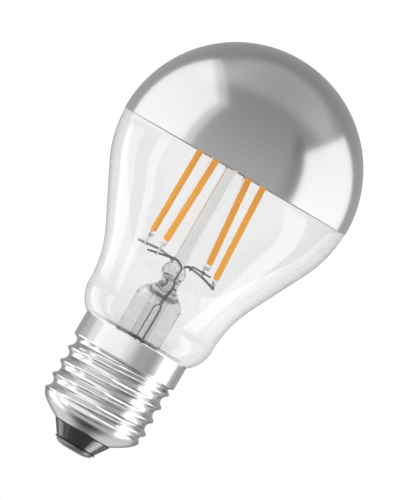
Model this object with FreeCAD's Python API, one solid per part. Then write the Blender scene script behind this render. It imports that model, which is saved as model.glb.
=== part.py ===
"""Silver crown lamp bulb: a clear pear-shaped glass bulb with a mirrored crown, four LED filaments
held in a wire cage on a glass stem, and a large screw cap with the driver inside it.

Millimetres. The lamp axis is Z, with the cap at the bottom: the origin is the tip of the centre
contact and +Z points to the crown. +X is to the right and -Y towards the viewer in the front view.
Heights are worked out upwards: centre contact, insulator, screw shell, glass bulb seated in the
shell's rim, stem sealed into the bulb's neck, and the filament cage standing on the stem.
"""
import FreeCAD, Part
import math
import os

from FreeCAD import Vector

# Centre contact: a slightly domed disc with a hollow shank that goes up through the insulator.
CONTACT_RADIUS = 4.75
CONTACT_FLAT_RADIUS = 2.4
CONTACT_DOME = 0.8
CONTACT_EDGE = 0.35
SHANK_RADIUS = 1.4
SHANK_BORE_RADIUS = 0.6
SHANK_STAND = 0.5
SHANK_FLOOR = 0.6

# Insulator: black glass moulded into the bottom of the shell, with a small lip at its foot.
INSULATOR_HEIGHT = 3.95
INSULATOR_FOOT_RADIUS = 5.1
INSULATOR_LIP = 0.22
INSULATOR_LIP_HEIGHT = 0.25
INSULATOR_FILL = 2.2
INSULATOR_LEDGE = 0.1
MOULDING_CLEARANCE = 0.04

# Screw shell: thin sheet rolled to the 27 mm knuckle thread, with a plain skirt above it.
MAJOR_RADIUS = 13.2
THREAD_DEPTH = 1.1
THREAD_PITCH = 3.629
THREAD_TURNS = 4.1
CREST_SHARE = 0.4
CREST_PHASE = 0.27
SHELL_WALL = 0.3
LIP_RADIUS = 7.6
DOME_HEIGHT = 4.7
DOME_STEP = 0.35
DOME_BLEND = 1.5
SKIRT_STEP = 0.3
SKIRT_HEIGHT = 4.0
SKIRT_BLEND = 1.4
RIM_CHAMFER = 0.2

# Glass bulb: tangent arcs from the neck in the cap to the globe, one wall thickness throughout.
GLOBE_RADIUS = 29.85
GLASS_WALL = 0.6
FLANK_ANGLE = 26.9
THROAT_RADIUS = 28.6
WAIST_RADIUS = 16.75
SHOULDER_RADIUS = 8.45
NECK_FILLET = 2.0
NECK_CLEARANCE = 0.4
NECK_DEPTH = 8.5
RIM_CLEARANCE = 0.05

# Mirror: a metal coat on the outside of the crown, down to just below the widest circle.
MIRROR_COAT = 0.15
MIRROR_CLEARANCE = 0.02
MIRROR_DROP = 0.5

# Stem: flare tube, pinch and bead fused into one piece of glass, with the exhaust tube below it
# and the post above it. The pinch is seen edge-on from the front.
FLARE_RADIUS = 5.8
FLARE_WALL = 1.1
PINCH_HEIGHT = 2.2
PINCH_HALF_X = 2.4
PINCH_HALF_Y = 4.8
SHOULDER_HEIGHT = 4.1
ROOF_HEIGHT = 1.8
ROOF_RADIUS = 2.6
BEAD_HEIGHT = 3.3
BEAD_X = -0.4
BEAD_HALF_X = 3.0
BEAD_HALF_Y = 2.2
EXHAUST_RADIUS = 2.25
EXHAUST_WALL = 0.75
EXHAUST_SEAT = 0.6
EXHAUST_DROP = 4.2
BLOW_HOLE_RADIUS = 0.8
BLOW_HOLE_RISE = 35.0
POST_RADIUS = 1.6
POST_FOOT_X = -0.55
POST_HEAD_X = -1.05
POST_SOCKET = 1.6
POST_BULGE_RADIUS = 1.95
POST_BULGE_REACH = 2.1

# Lead-in wires: copper below the pinch, seal wire in the glass, nickel above it. The left one is
# at the front of the pinch and the right one at the back. The copper ones swing aside below it.
LEAD_RADIUS = 0.3
SEAL_RADIUS = 0.22
COPPER_RADIUS = 0.25
LEAD_DEPTH = 2.9
LEAD_X = 0.75
LEFT_COPPER_X = 1.15
RIGHT_COPPER_X = -0.7
COPPER_SWING = 1.6
COPPER_BEND = 1.0
SEAL_STAND = 0.8
LEAD_BEND = 1.0
KNEE_DROP = 0.5
FORK_X = 3.1
FORK_Y = 2.4
FORK_DROP = 0.15
ARM_RUN = 4.0
ARM_RISE = 0.5
JUMPER_RADIUS = 0.25
JUMPER_SHARE = 0.6
WELD_CLEARANCE = 0.02

# Filament cage: four strips between the arms and two wires above the globe's middle, each leaning
# in towards the post's head. The stem is as tall as the cage needs.
CAGE_RISE = 13.8
CAGE_FOOT_X = -0.2
CAGE_FOOT_RADIUS = 10.9
CAGE_HEAD_RADIUS = 8.8
CAGE_FOOT_ANGLE = -31.0
CAGE_HEAD_ANGLE = -22.2
CAGE_STAND = 4.0
LOWER_LEG = 2.9
UPPER_LEG = 2.7
COAT_LENGTH = 34.0
COAT_WIDTH = 1.5
COAT_THICKNESS = 1.4
COAT_ROUNDING = 0.5
COAT_SHIFT = 0.35
STRIP_WIDTH = 2.0
STRIP_THICKNESS = 0.4
STRIP_OVERHANG = 1.3
CHIP_COUNT = 28
CHIP_LENGTH = 0.7
CHIP_WIDTH = 0.3
CHIP_HEIGHT = 0.12
CLIP_WALL = 0.13
CLIP_WIDTH = 1.1
CLIP_LENGTH = 0.7
LEG_WIDTH = 0.5
LEG_THICKNESS = 0.2
LEG_TAIL = 0.4
HEAD_WIRE_RADIUS = 0.25
HEAD_WIRE_STEP = 1.1
HEAD_WIRE_OVERHANG = 1.2
FOOT_SCATTER = 1.0
COAT_SCATTER = 1.0
ARM_OVERHANG = 2.6
# For each filament: its place round the cage in quarter turns, how far its foot and its head are
# turned from there in degrees, the shares of the two scatters by which its foot and its coated
# length stand high, and its arm's heading and share of the overhang.
FILAMENT_QUARTERS = {"filament_1": 2, "filament_2": 3, "filament_3": 1, "filament_4": 0}
FOOT_TURNS = {"filament_1": 0.0, "filament_2": -2.8, "filament_3": -2.2, "filament_4": 0.0}
HEAD_TURNS = {"filament_1": 0.0, "filament_2": -3.2, "filament_3": 2.2, "filament_4": 0.0}
FOOT_SHARES = {"filament_1": 0.3, "filament_2": -0.4, "filament_3": 0.9, "filament_4": -1.0}
COAT_SHARES = {"filament_1": 0.3, "filament_2": 0.6, "filament_3": -0.6, "filament_4": -1.0}
ARM_HEADINGS = {"filament_1": 149.0, "filament_2": 212.0, "filament_3": 40.0, "filament_4": -31.0}
ARM_SHARES = {"filament_1": 1.0, "filament_2": 1.0, "filament_3": 1.0, "filament_4": 0.3}
UPPER_WIRE_FILAMENTS = ("filament_2", "filament_3")
# The current goes down these two, so they are mounted the other way up, chips still outwards.
DOWNWARD_FILAMENTS = ("filament_3", "filament_4")

# Cement ring that holds the glass neck in the skirt, up the neck's fillet by an angle.
CEMENT_SPREAD = 50.0
CEMENT_CLEARANCE = 0.05

# Driver: a round board across the cap. Flat parts lie on its top, tall parts hang below it.
BOARD_CLEARANCE = 0.25
BOARD_THICKNESS = 1.0
BOARD_GAP = 0.7
HOLE_CLEARANCE = 0.1
WIRE_TAIL = 0.8
SEATING_GAP = 0.1
CAPACITOR_RADIUS = 3.1
CAPACITOR_LENGTH = 11.0
CAPACITOR_Y = 5.4
CAPACITOR_GROOVE = 0.35
CAPACITOR_GROOVE_PLACE = 1.8
CAPACITOR_WIRE_RADIUS = 0.25
CAPACITOR_WIRE_SPACING = 2.5
CAPACITOR_WIRE_REACH = 1.2
CHOKE_RADIUS = 3.0
CHOKE_HEIGHT = 5.4
CHOKE_CORE_RADIUS = 1.3
CHOKE_FLANGE = 0.9
CHOKE_WINDING_DEPTH = 0.3
CHOKE_PLACE = (-4.8, -4.9)
RESISTOR_RADIUS = 1.3
RESISTOR_LENGTH = 5.2
RESISTOR_ROUNDING = 0.5
RESISTOR_WIRE_RADIUS = 0.3
RESISTOR_WIRE_REACH = 1.5
RESISTOR_PLACE = (3.2, -6.3)
BRIDGE_SIZE = (4.7, 3.9, 2.4)
BRIDGE_PLACE = (-6.3, 2.6)
DRIVER_CHIP_SIZE = (4.9, 3.9, 1.45)
DRIVER_CHIP_PLACE = (6.9, 0.9)
SENSE_SIZE = (3.1, 1.6, 0.6)
SENSE_PLACE = (4.9, -5.4)
SENSE_SPACING = 2.4
PIN_SIZE = (0.4, 0.9, 0.15)
PIN_SPACING = 1.27
PINS_PER_SIDE = 4
CONTACT_WIRE_RADIUS = 0.3
SHELL_WIRE_RADIUS = 0.3
SHELL_WIRE_HEADING = 200.0
SHELL_WIRE_INSET = 1.4
SHELL_WIRE_RISE = 1.9
SHELL_WIRE_BEND = 0.8

AXIS = Vector(0, 0, 1)
ORIGIN = Vector(0, 0, 0)
TURN = 2 * math.pi


# Heights and radii that follow from the driving dimensions
CONTACT_TOP = CONTACT_DOME + CONTACT_EDGE
LIP_Z = CONTACT_TOP + INSULATOR_HEIGHT
DOME_TOP = LIP_Z + DOME_HEIGHT
THREAD_TOP = DOME_TOP + THREAD_TURNS * THREAD_PITCH
RIM_Z = THREAD_TOP + SKIRT_BLEND + SKIRT_HEIGHT
SKIRT_RADIUS = MAJOR_RADIUS + SKIRT_STEP
ROOT_RADIUS = MAJOR_RADIUS - THREAD_DEPTH
SHELL_BORE_RADIUS = ROOT_RADIUS - SHELL_WALL
NECK_RADIUS = SHELL_BORE_RADIUS - NECK_CLEARANCE
NECK_END_Z = RIM_Z - NECK_DEPTH
NECK_BORE_RADIUS = NECK_RADIUS - GLASS_WALL


def seat_height():
    """Height of the waist when the bulb's shoulder arc just clears the shell's rim."""
    reach = SKIRT_RADIUS - RIM_CLEARANCE - (WAIST_RADIUS - SHOULDER_RADIUS)
    return RIM_Z + math.sqrt(SHOULDER_RADIUS**2 - reach**2)


SHOULDER_X = WAIST_RADIUS - SHOULDER_RADIUS
WAIST_Z = seat_height()
FILLET_X = NECK_RADIUS + NECK_FILLET
FILLET_Z = WAIST_Z - math.sqrt((SHOULDER_RADIUS + NECK_FILLET)**2 - (FILLET_X - SHOULDER_X)**2)
FILLET_TURN = math.atan2(WAIST_Z - FILLET_Z, SHOULDER_X - FILLET_X)
FLANK = math.radians(FLANK_ANGLE)
FLANK_FOOT_RADIUS = WAIST_RADIUS + THROAT_RADIUS * (1 - math.cos(FLANK))
FLANK_FOOT_Z = WAIST_Z + THROAT_RADIUS * math.sin(FLANK)
FLANK_HEAD_RADIUS = GLOBE_RADIUS * math.cos(FLANK)
FLANK_HEAD_Z = FLANK_FOOT_Z + (FLANK_HEAD_RADIUS - FLANK_FOOT_RADIUS) / math.tan(FLANK)
GLOBE_Z = FLANK_HEAD_Z + GLOBE_RADIUS * math.sin(FLANK)

CAGE_HEAD_Z = GLOBE_Z + CAGE_RISE
CAGE_FOOT_Z = CAGE_HEAD_Z - UPPER_LEG - COAT_LENGTH - LOWER_LEG
PINCH_TOP = CAGE_FOOT_Z - CAGE_STAND
PINCH_FOOT = PINCH_TOP - PINCH_HEIGHT
SHOULDER_FOOT = PINCH_FOOT - SHOULDER_HEIGHT
ROOF_Z = SHOULDER_FOOT + ROOF_HEIGHT
FLARE_BORE_RADIUS = FLARE_RADIUS - FLARE_WALL
BEAD_TOP = PINCH_TOP + BEAD_HEIGHT
EXHAUST_TIP = NECK_END_Z - EXHAUST_DROP
POST_FOOT = Vector(POST_FOOT_X, 0, BEAD_TOP - POST_SOCKET)
POST_HEAD = Vector(POST_HEAD_X, 0, CAGE_HEAD_Z + HEAD_WIRE_STEP / 2)

BOARD_TOP = EXHAUST_TIP - BOARD_GAP
BOARD_BOTTOM = BOARD_TOP - BOARD_THICKNESS
BOARD_RADIUS = SHELL_BORE_RADIUS - BOARD_CLEARANCE
LEFT_LEAD = Vector(LEAD_X, -LEAD_DEPTH, 0)
RIGHT_LEAD = Vector(LEAD_X, LEAD_DEPTH, 0)
LEFT_COPPER = Vector(LEFT_COPPER_X, -LEAD_DEPTH, 0)
RIGHT_COPPER = Vector(RIGHT_COPPER_X, LEAD_DEPTH, 0)


# Helpers
def point(radius, height):
    """A point of a profile: radius along +X, height along +Z."""
    return Vector(radius, 0, height)


def line(start, end):
    """A straight edge."""
    return Part.LineSegment(start, end).toShape()


def arc(centre, radius, start, end):
    """An arc in the XZ plane, its angles in radians from +X towards +Z."""
    ends = [
        point(centre[0] + radius * math.cos(a), centre[1] + radius * math.sin(a))
        for a in (start, (start + end) / 2, end)
    ]
    return Part.Arc(*ends).toShape()


def joined(edges):
    """The edges as one closed face, with straight edges where one ends short of the next."""
    closed = []
    for edge, following in zip(edges, edges[1:] + edges[:1]):
        closed.append(edge)
        gap_start, gap_end = edge.lastVertex(True).Point, following.firstVertex(True).Point
        if gap_start.distanceToPoint(gap_end) > 1e-7:
            closed.append(line(gap_start, gap_end))
    return Part.Face(Part.Wire(closed))


def turned(face):
    """The profile face swept once round the lamp axis."""
    return face.revolve(ORIGIN, AXIS, 360)


def turned_polygon(*corners):
    """A solid of revolution from straight-sided profile corners, each a radius and a height."""
    points = [point(*corner) for corner in corners]
    return turned(Part.Face(Part.makePolygon(points + points[:1])))


def cylinder(radius, bottom, top, x=0.0, y=0.0):
    """An upright cylinder between two heights."""
    return Part.makeCylinder(radius, top - bottom, Vector(x, y, bottom))


def block(size, place, bottom):
    """A box with its centre over a place and its underside at a height."""
    return Part.makeBox(*size, Vector(place[0] - size[0] / 2, place[1] - size[1] / 2, bottom))


def rod(radius, start, end):
    """A straight round rod between two points."""
    return Part.makeCylinder(radius, (end - start).Length, start, end - start)


def placed(shape, origin, across, along):
    """The shape moved so that its Z lies along one direction and its X as near another as can be."""
    along = Vector(along).normalize()
    side = along.cross(across).normalize()
    rotation = FreeCAD.Rotation(side.cross(along), side, along, "ZXY")
    moved = shape.copy()
    moved.Placement = FreeCAD.Placement(origin, rotation).multiply(shape.Placement)
    return moved


def heading(degrees):
    """A level direction, as an angle from +X towards +Y."""
    angle = math.radians(degrees)
    return Vector(math.cos(angle), math.sin(angle), 0)


def oval(half_x, half_y, height, centre_x=0.0):
    """A level ellipse wire, with its centre on the lamp axis or beside it."""
    long, short = max(half_x, half_y), min(half_x, half_y)
    edge = Part.Ellipse(ORIGIN, long, short).toShape()
    if half_y > half_x:
        edge.rotate(ORIGIN, AXIS, 90)
    edge.translate(Vector(centre_x, 0, height))
    return Part.Wire(edge)


def bent_wire(points, bend, radius):
    """A round wire along straight runs joined by tangent arcs."""
    edges, start = [], points[0]
    for before, corner, after in zip(points, points[1:], points[2:]):
        back, on = (before - corner).normalize(), (after - corner).normalize()
        half = back.getAngle(on) / 2
        inward = (back + on).normalize()
        first = corner + back * (bend / math.tan(half))
        last = corner + on * (bend / math.tan(half))
        middle = corner + inward * (bend / math.sin(half) - bend)
        edges += [line(start, first), Part.Arc(first, middle, last).toShape()]
        start = last
    path = Part.Wire(edges + [line(start, points[-1])])
    section = Part.Wire(Part.makeCircle(radius, points[0], points[1] - points[0]))
    return path.makePipeShell([section], True, False)


def smoothstep(low, high, value):
    """0 below low, 1 above high, and a smooth rise between them."""
    share = min(1.0, max(0.0, (value - low) / (high - low)))
    return share * share * (3 - 2 * share)


# Cap
def knuckle(phase):
    """Radius of the knuckle thread at a phase in turns from a crest: two tangent arcs a side."""
    half_pitch = THREAD_PITCH / 2
    steepest = 2 * math.atan(THREAD_DEPTH / half_pitch)
    both_radii = half_pitch / math.sin(steepest)
    crest_radius = both_radii * CREST_SHARE
    root_radius = both_radii - crest_radius
    along = abs(phase - round(phase)) * THREAD_PITCH
    if along < crest_radius * math.sin(steepest):
        return MAJOR_RADIUS - crest_radius + math.sqrt(crest_radius**2 - along**2)
    left = half_pitch - along
    return ROOT_RADIUS + root_radius - math.sqrt(root_radius**2 - left**2)


def shell_radius(angle, height):
    """Outer radius of the shell: dome, rolled thread and skirt, blended into each other."""
    dome_share = min(1.0, (height - LIP_Z) / DOME_HEIGHT)
    dome_head = MAJOR_RADIUS - DOME_STEP
    dome = LIP_RADIUS + (dome_head - LIP_RADIUS) * math.sin(dome_share * math.pi / 2)
    thread = knuckle((height - DOME_TOP) / THREAD_PITCH - angle / TURN - CREST_PHASE)
    into_thread = smoothstep(DOME_TOP - DOME_BLEND / 2, DOME_TOP + DOME_BLEND / 2, height)
    into_skirt = smoothstep(THREAD_TOP, THREAD_TOP + SKIRT_BLEND, height)
    rolled = dome + (thread - dome) * into_thread
    return rolled + (SKIRT_RADIUS - rolled) * into_skirt


def shell_point(angle, height, depth):
    """A point of the shell's wall, at a depth below its outer surface."""
    step = 1e-4
    radius = shell_radius(angle, height)
    along_axis = (shell_radius(angle, height + step) - radius) / step
    along_turn = (shell_radius(angle + step, height) - radius) / step / radius
    outward = Vector(1, -along_turn, -along_axis).normalize()
    inner = Vector(radius, 0, height) - outward * depth
    turn = FreeCAD.Rotation(AXIS, math.degrees(angle))
    return turn.multVec(inner)


def shell_skin(depth, top):
    """The shell's surface at a depth and up to a height: cubic, and periodic round the axis. Its
    poles are pushed out from the wall by what such a surface draws in between them."""
    columns, per_pitch, degree = 24, 10, 3
    spans = math.ceil((top - LIP_Z) / THREAD_PITCH * per_pitch)
    knots = [LIP_Z + (top - LIP_Z) * i / spans for i in range(spans + 1)]
    clamped = knots[:1] * degree + knots + knots[-1:] * degree
    levels = [sum(clamped[i + 1:i + 1 + degree]) / degree for i in range(spans + degree)]
    push = 3 / (2 + math.cos(TURN / columns))
    rows = []
    for level in levels:
        ring = [shell_point(TURN * i / columns, level, depth) for i in range(columns)]
        rows.append([Vector(p.x * push, p.y * push, p.z) for p in ring])
    surface = Part.BSplineSurface()
    surface.buildFromPolesMultsKnots(
        rows,
        [degree + 1] + [1] * (spans - 1) + [degree + 1],
        [1] * (columns + 1),
        knots,
        [TURN * i / columns for i in range(columns + 1)],
        False,
        True,
        degree,
        degree,
    )
    return surface.toShape()


def end_ring(outer, inner, top):
    """The narrow ring between the two skins, at the top or the bottom end of the shell."""
    def rim(skin):
        level = [e for e in skin.Edges if e.BoundBox.ZLength < 1e-3]
        return sorted(level, key=lambda e: e.BoundBox.ZMin)[-1 if top else 0]
    return Part.makeRuledSurface(rim(outer), rim(inner))


def cap_shell():
    """The rolled shell: two skins a wall apart, closed by a ring at each end."""
    outer, inner = shell_skin(0.0, RIM_Z), shell_skin(SHELL_WALL, RIM_Z - RIM_CHAMFER)
    shell = Part.makeShell([outer, inner, end_ring(outer, inner, False), end_ring(outer, inner, True)])
    shell.sewShape()
    solid = Part.makeSolid(shell)
    if solid.Volume < 0:
        solid.reverse()
    return solid


def insulator():
    """Black glass from the contact up to the lip, and on up inside the shell's dome."""
    depth = SHELL_WALL + MOULDING_CLEARANCE
    steps = 5
    inside = [shell_point(0.0, LIP_Z + INSULATOR_FILL * i / steps, depth) for i in range(steps + 1)]
    wall = Part.BSplineCurve()
    wall.interpolate(inside)
    lip_radius = INSULATOR_FOOT_RADIUS + INSULATOR_LIP
    lip_top = CONTACT_TOP + INSULATOR_LIP_HEIGHT
    corners = [
        point(SHANK_RADIUS, CONTACT_TOP),
        point(lip_radius - INSULATOR_LIP / 2, CONTACT_TOP),
        point(lip_radius, CONTACT_TOP + INSULATOR_LIP_HEIGHT / 2),
        point(lip_radius, lip_top),
        point(INSULATOR_FOOT_RADIUS, lip_top + INSULATOR_LIP),
        point(LIP_RADIUS - INSULATOR_LEDGE, LIP_Z - INSULATOR_LEDGE),
        point(LIP_RADIUS - SHELL_WALL, LIP_Z - INSULATOR_LEDGE),
    ]
    edges = [line(a, b) for a, b in zip(corners, corners[1:])]
    top = point(SHANK_RADIUS, inside[-1].z)
    return turned(joined(edges + [wall.toShape(), line(inside[-1], top)]))


def centre_contact():
    """A domed disc with a flat tip, and a shank with a blind bore for the contact wire."""
    shank_top = shell_point(0.0, LIP_Z + INSULATOR_FILL, SHELL_WALL + MOULDING_CLEARANCE).z + SHANK_STAND
    flat, edge = point(CONTACT_FLAT_RADIUS, 0), point(CONTACT_RADIUS, CONTACT_DOME)
    crown = Part.Arc(flat, point((flat.x + edge.x) / 2 + CONTACT_DOME / 5, CONTACT_DOME / 3), edge)
    corners = [
        edge,
        point(CONTACT_RADIUS, CONTACT_TOP),
        point(SHANK_RADIUS, CONTACT_TOP),
        point(SHANK_RADIUS, shank_top),
        point(SHANK_BORE_RADIUS, shank_top),
        point(SHANK_BORE_RADIUS, SHANK_FLOOR),
        point(0, SHANK_FLOOR),
        ORIGIN,
        flat,
    ]
    return turned(joined([crown.toShape()] + [line(a, b) for a, b in zip(corners, corners[1:])]))


def cement():
    """The ring of cement between the neck and the skirt."""
    reach = NECK_FILLET - CEMENT_CLEARANCE
    foot = THREAD_TOP + SKIRT_BLEND
    outside = SKIRT_RADIUS - SHELL_WALL - CEMENT_CLEARANCE
    spread = math.pi - math.radians(CEMENT_SPREAD)
    fillet = arc((FILLET_X, FILLET_Z), reach, math.pi, spread)
    crest = fillet.lastVertex(True).Point
    return turned(joined([
        line(point(FILLET_X - reach, foot), point(FILLET_X - reach, FILLET_Z)),
        fillet,
        line(crest, point(outside, crest.z)),
        line(point(outside, crest.z), point(outside, foot)),
    ]))


# Glass bulb and mirror
def bulb_outline(depth):
    """The bulb's outline at a depth below its outer surface, from the neck's end to the crown."""
    neck = NECK_RADIUS - depth
    foot, head = FLANK_FOOT_RADIUS - depth * math.cos(FLANK), FLANK_HEAD_RADIUS - depth * math.cos(FLANK)
    drop = depth * math.sin(FLANK)
    return [
        line(point(neck, NECK_END_Z), point(neck, FILLET_Z)),
        arc((FILLET_X, FILLET_Z), NECK_FILLET + depth, math.pi, FILLET_TURN),
        arc((SHOULDER_X, WAIST_Z), SHOULDER_RADIUS - depth, FILLET_TURN - math.pi, 0),
        arc((WAIST_RADIUS + THROAT_RADIUS, WAIST_Z), THROAT_RADIUS + depth, math.pi, math.pi - FLANK),
        line(point(foot, FLANK_FOOT_Z + drop), point(head, FLANK_HEAD_Z + drop)),
        arc((0, GLOBE_Z), GLOBE_RADIUS - depth, -FLANK, math.pi / 2),
    ]


def backwards(edges):
    """The same edges, to be gone through from the last end to the first."""
    return [edge.reversed() for edge in reversed(edges)]


def glass_envelope():
    """The blown bulb, open at the end of its neck."""
    return turned(joined(bulb_outline(0.0) + backwards(bulb_outline(GLASS_WALL))))


def mirror_crown():
    """The coat on the crown, with its rim level all the way round."""
    start = -math.asin(MIRROR_DROP / GLOBE_RADIUS)
    outside = arc((0, GLOBE_Z), GLOBE_RADIUS + MIRROR_COAT, start, math.pi / 2)
    inside = arc((0, GLOBE_Z), GLOBE_RADIUS + MIRROR_CLEARANCE, start, math.pi / 2)
    return turned(joined([outside] + backwards([inside])))


# Stem
def flare_tube():
    """The tube and its trumpet, whose lip is sealed to the end of the neck."""
    trumpet = NECK_BORE_RADIUS - FLARE_RADIUS
    centre = (NECK_BORE_RADIUS, NECK_END_Z + trumpet)
    outside = arc(centre, trumpet, math.pi, 3 * math.pi / 2)
    inside = arc(centre, trumpet + FLARE_WALL, 3 * math.pi / 2, math.pi)
    lip_foot = NECK_END_Z - FLARE_WALL
    return turned(joined([
        line(point(FLARE_BORE_RADIUS, SHOULDER_FOOT), point(FLARE_RADIUS, SHOULDER_FOOT)),
        line(point(FLARE_RADIUS, SHOULDER_FOOT), outside.firstVertex(True).Point),
        outside,
        line(outside.lastVertex(True).Point, point(NECK_RADIUS, NECK_END_Z)),
        line(point(NECK_RADIUS, NECK_END_Z), point(NECK_RADIUS, lip_foot)),
        line(point(NECK_RADIUS, lip_foot), inside.firstVertex(True).Point),
        inside,
    ]))


def pinch_and_bead():
    """The flattened top of the stem, and the rounded bead that the post stands in."""
    pinch = Part.makeLoft([
        oval(FLARE_RADIUS, FLARE_RADIUS, SHOULDER_FOOT),
        oval(FLARE_RADIUS * 0.97, FLARE_RADIUS * 0.99, SHOULDER_FOOT + SHOULDER_HEIGHT * 0.2),
        oval(FLARE_RADIUS * 0.78, FLARE_RADIUS * 0.95, SHOULDER_FOOT + SHOULDER_HEIGHT * 0.55),
        oval(PINCH_HALF_X * 1.2, PINCH_HALF_Y * 1.04, PINCH_FOOT - SHOULDER_HEIGHT * 0.1),
        oval(PINCH_HALF_X, PINCH_HALF_Y, PINCH_FOOT + PINCH_HEIGHT * 0.3),
        oval(PINCH_HALF_X * 0.95, PINCH_HALF_Y * 0.93, PINCH_TOP),
    ], True)
    bead = Part.makeLoft([
        oval(BEAD_HALF_X * 0.6, BEAD_HALF_Y * 0.7, PINCH_TOP - BEAD_HEIGHT * 0.2, BEAD_X),
        oval(BEAD_HALF_X * 0.9, BEAD_HALF_Y * 0.92, PINCH_TOP + BEAD_HEIGHT * 0.12, BEAD_X),
        oval(BEAD_HALF_X, BEAD_HALF_Y, PINCH_TOP + BEAD_HEIGHT * 0.45, BEAD_X),
        oval(BEAD_HALF_X * 0.93, BEAD_HALF_Y * 0.95, PINCH_TOP + BEAD_HEIGHT * 0.75, BEAD_X),
        oval(BEAD_HALF_X * 0.75, BEAD_HALF_Y * 0.85, BEAD_TOP, BEAD_X),
    ], True)
    return pinch.fuse(bead)


def exhaust_tube():
    """The tube the bulb was pumped through, closed by melting off its lower end."""
    bore = EXHAUST_RADIUS - EXHAUST_WALL
    straight = EXHAUST_TIP + EXHAUST_RADIUS
    head = ROOF_Z + EXHAUST_SEAT
    outside = arc((0, straight), EXHAUST_RADIUS, 0, -math.pi / 2)
    inside = arc((0, straight), bore, -math.pi / 2, 0)
    return turned(joined([
        line(point(bore, head), point(EXHAUST_RADIUS, head)),
        line(point(EXHAUST_RADIUS, head), point(EXHAUST_RADIUS, straight)),
        outside,
        inside,
    ]))


def stem_glass():
    """Flare tube, pinch and bead, with the seats of what is sealed into them."""
    roof = turned_polygon(
        (0, SHOULDER_FOOT), (FLARE_BORE_RADIUS, SHOULDER_FOOT), (ROOF_RADIUS, ROOF_Z), (0, ROOF_Z)
    )
    seat = cylinder(EXHAUST_RADIUS, SHOULDER_FOOT, ROOF_Z + EXHAUST_SEAT)
    rise = math.radians(BLOW_HOLE_RISE)
    hole_start = point(0, ROOF_Z + EXHAUST_SEAT - BLOW_HOLE_RADIUS)
    hole_end = hole_start + Vector(0, math.cos(rise), math.sin(rise)) * (PINCH_HALF_Y * 2)
    blow_hole = rod(BLOW_HOLE_RADIUS, hole_start, hole_end)
    glass = flare_tube().fuse(pinch_and_bead()).cut([roof, seat, blow_hole])
    seals = [seal_wire(LEFT_LEAD), seal_wire(RIGHT_LEAD)]
    return glass.cut(seals + [post_rod()]).removeSplitter()


def post_rod():
    """The straight rod of the post, from its socket in the bead to just under its head."""
    return rod(POST_RADIUS, POST_FOOT, POST_HEAD)


def centre_post():
    """The clear rod, with a head bulged over the two wires that are melted into it."""
    head = Part.makeSphere(POST_BULGE_RADIUS)
    stretch = FreeCAD.Matrix()
    stretch.scale(1, 1, POST_BULGE_REACH / POST_BULGE_RADIUS)
    head = head.transformGeometry(stretch)
    head.translate(POST_HEAD)
    return post_rod().fuse(head).cut([head_wire(False), head_wire(True)]).removeSplitter()


# Lead-in wires
def seal_wire(place):
    """The wire that is sealed through the pinch."""
    return cylinder(SEAL_RADIUS, ROOF_Z - SEAL_STAND, PINCH_TOP + SEAL_STAND, place.x, place.y)


def copper_lead(place, foot):
    """The wire from the seal, aside, down the flare tube and through the board."""
    head_z = ROOF_Z - SEAL_STAND
    return bent_wire([
        place + point(0, head_z),
        place + point(0, head_z - COPPER_SWING / 2),
        foot + point(0, head_z - COPPER_SWING * 1.5),
        foot + point(0, BOARD_BOTTOM - WIRE_TAIL),
    ], COPPER_BEND, COPPER_RADIUS)


def lead_route(place, side, name):
    """The nickel lead's points: up from the seal, slanting up to a crest, down to the fork, and
    along a filament's arm."""
    knee = place + point(0, CAGE_FOOT_Z - KNEE_DROP)
    fork = Vector(side * FORK_X, side * FORK_Y, CAGE_FOOT_Z + ARM_RISE - FORK_DROP)
    crest = (knee + fork) * 0.5
    crest.z = CAGE_FOOT_Z + ARM_RISE
    return [place + point(0, PINCH_TOP + SEAL_STAND), knee, crest, fork] + arm(name)


def arm(name):
    """The last straight stretch of a wire, which passes a filament's foot."""
    foot = filament_foot(name)
    bend = foot - heading(ARM_HEADINGS[name]) * ARM_RUN
    bend.z = CAGE_FOOT_Z + ARM_RISE + FOOT_SCATTER * FOOT_SHARES[name] / 2
    return [bend, foot + (foot - bend).normalize() * ARM_OVERHANG * ARM_SHARES[name]]


def jumper(lead_points, name):
    """The wire from under a lead to the second filament on that side."""
    crest, fork = lead_points[2], lead_points[3]
    start = crest + (fork - crest) * JUMPER_SHARE
    start.z -= LEAD_RADIUS + JUMPER_RADIUS + WELD_CLEARANCE
    return bent_wire([start] + arm(name), LEAD_BEND, JUMPER_RADIUS)


# Filament cage
def filament_foot(name):
    """Where the filament's leg crosses the arm below it."""
    angle = CAGE_FOOT_ANGLE + 90 * FILAMENT_QUARTERS[name] + FOOT_TURNS[name]
    return heading(angle) * CAGE_FOOT_RADIUS + point(CAGE_FOOT_X, CAGE_FOOT_Z + FOOT_SCATTER * FOOT_SHARES[name])


def filament_head(name):
    """Where the filament's leg crosses the wire above it."""
    angle = CAGE_HEAD_ANGLE + 90 * FILAMENT_QUARTERS[name] + HEAD_TURNS[name]
    step = HEAD_WIRE_STEP if name in UPPER_WIRE_FILAMENTS else 0
    return heading(angle) * CAGE_HEAD_RADIUS + point(POST_HEAD_X, CAGE_HEAD_Z + step)


def head_wire(upper):
    """The wire across the post's head that joins the tops of two opposite filaments."""
    pair = [name for name in FILAMENT_QUARTERS if (name in UPPER_WIRE_FILAMENTS) == upper]
    first, last = filament_head(pair[0]), filament_head(pair[1])
    over = (last - first).normalize() * HEAD_WIRE_OVERHANG
    return rod(HEAD_WIRE_RADIUS, first - over, last + over)


def rounded_bar(width, thickness, length, rounding):
    """A bar along Z with its long edges rounded."""
    bar = Part.makeBox(width, thickness, length, Vector(-width / 2, -thickness / 2, 0))
    return bar.makeFillet(rounding, [e for e in bar.Edges if abs(e.Length - length) < 1e-6])


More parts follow.
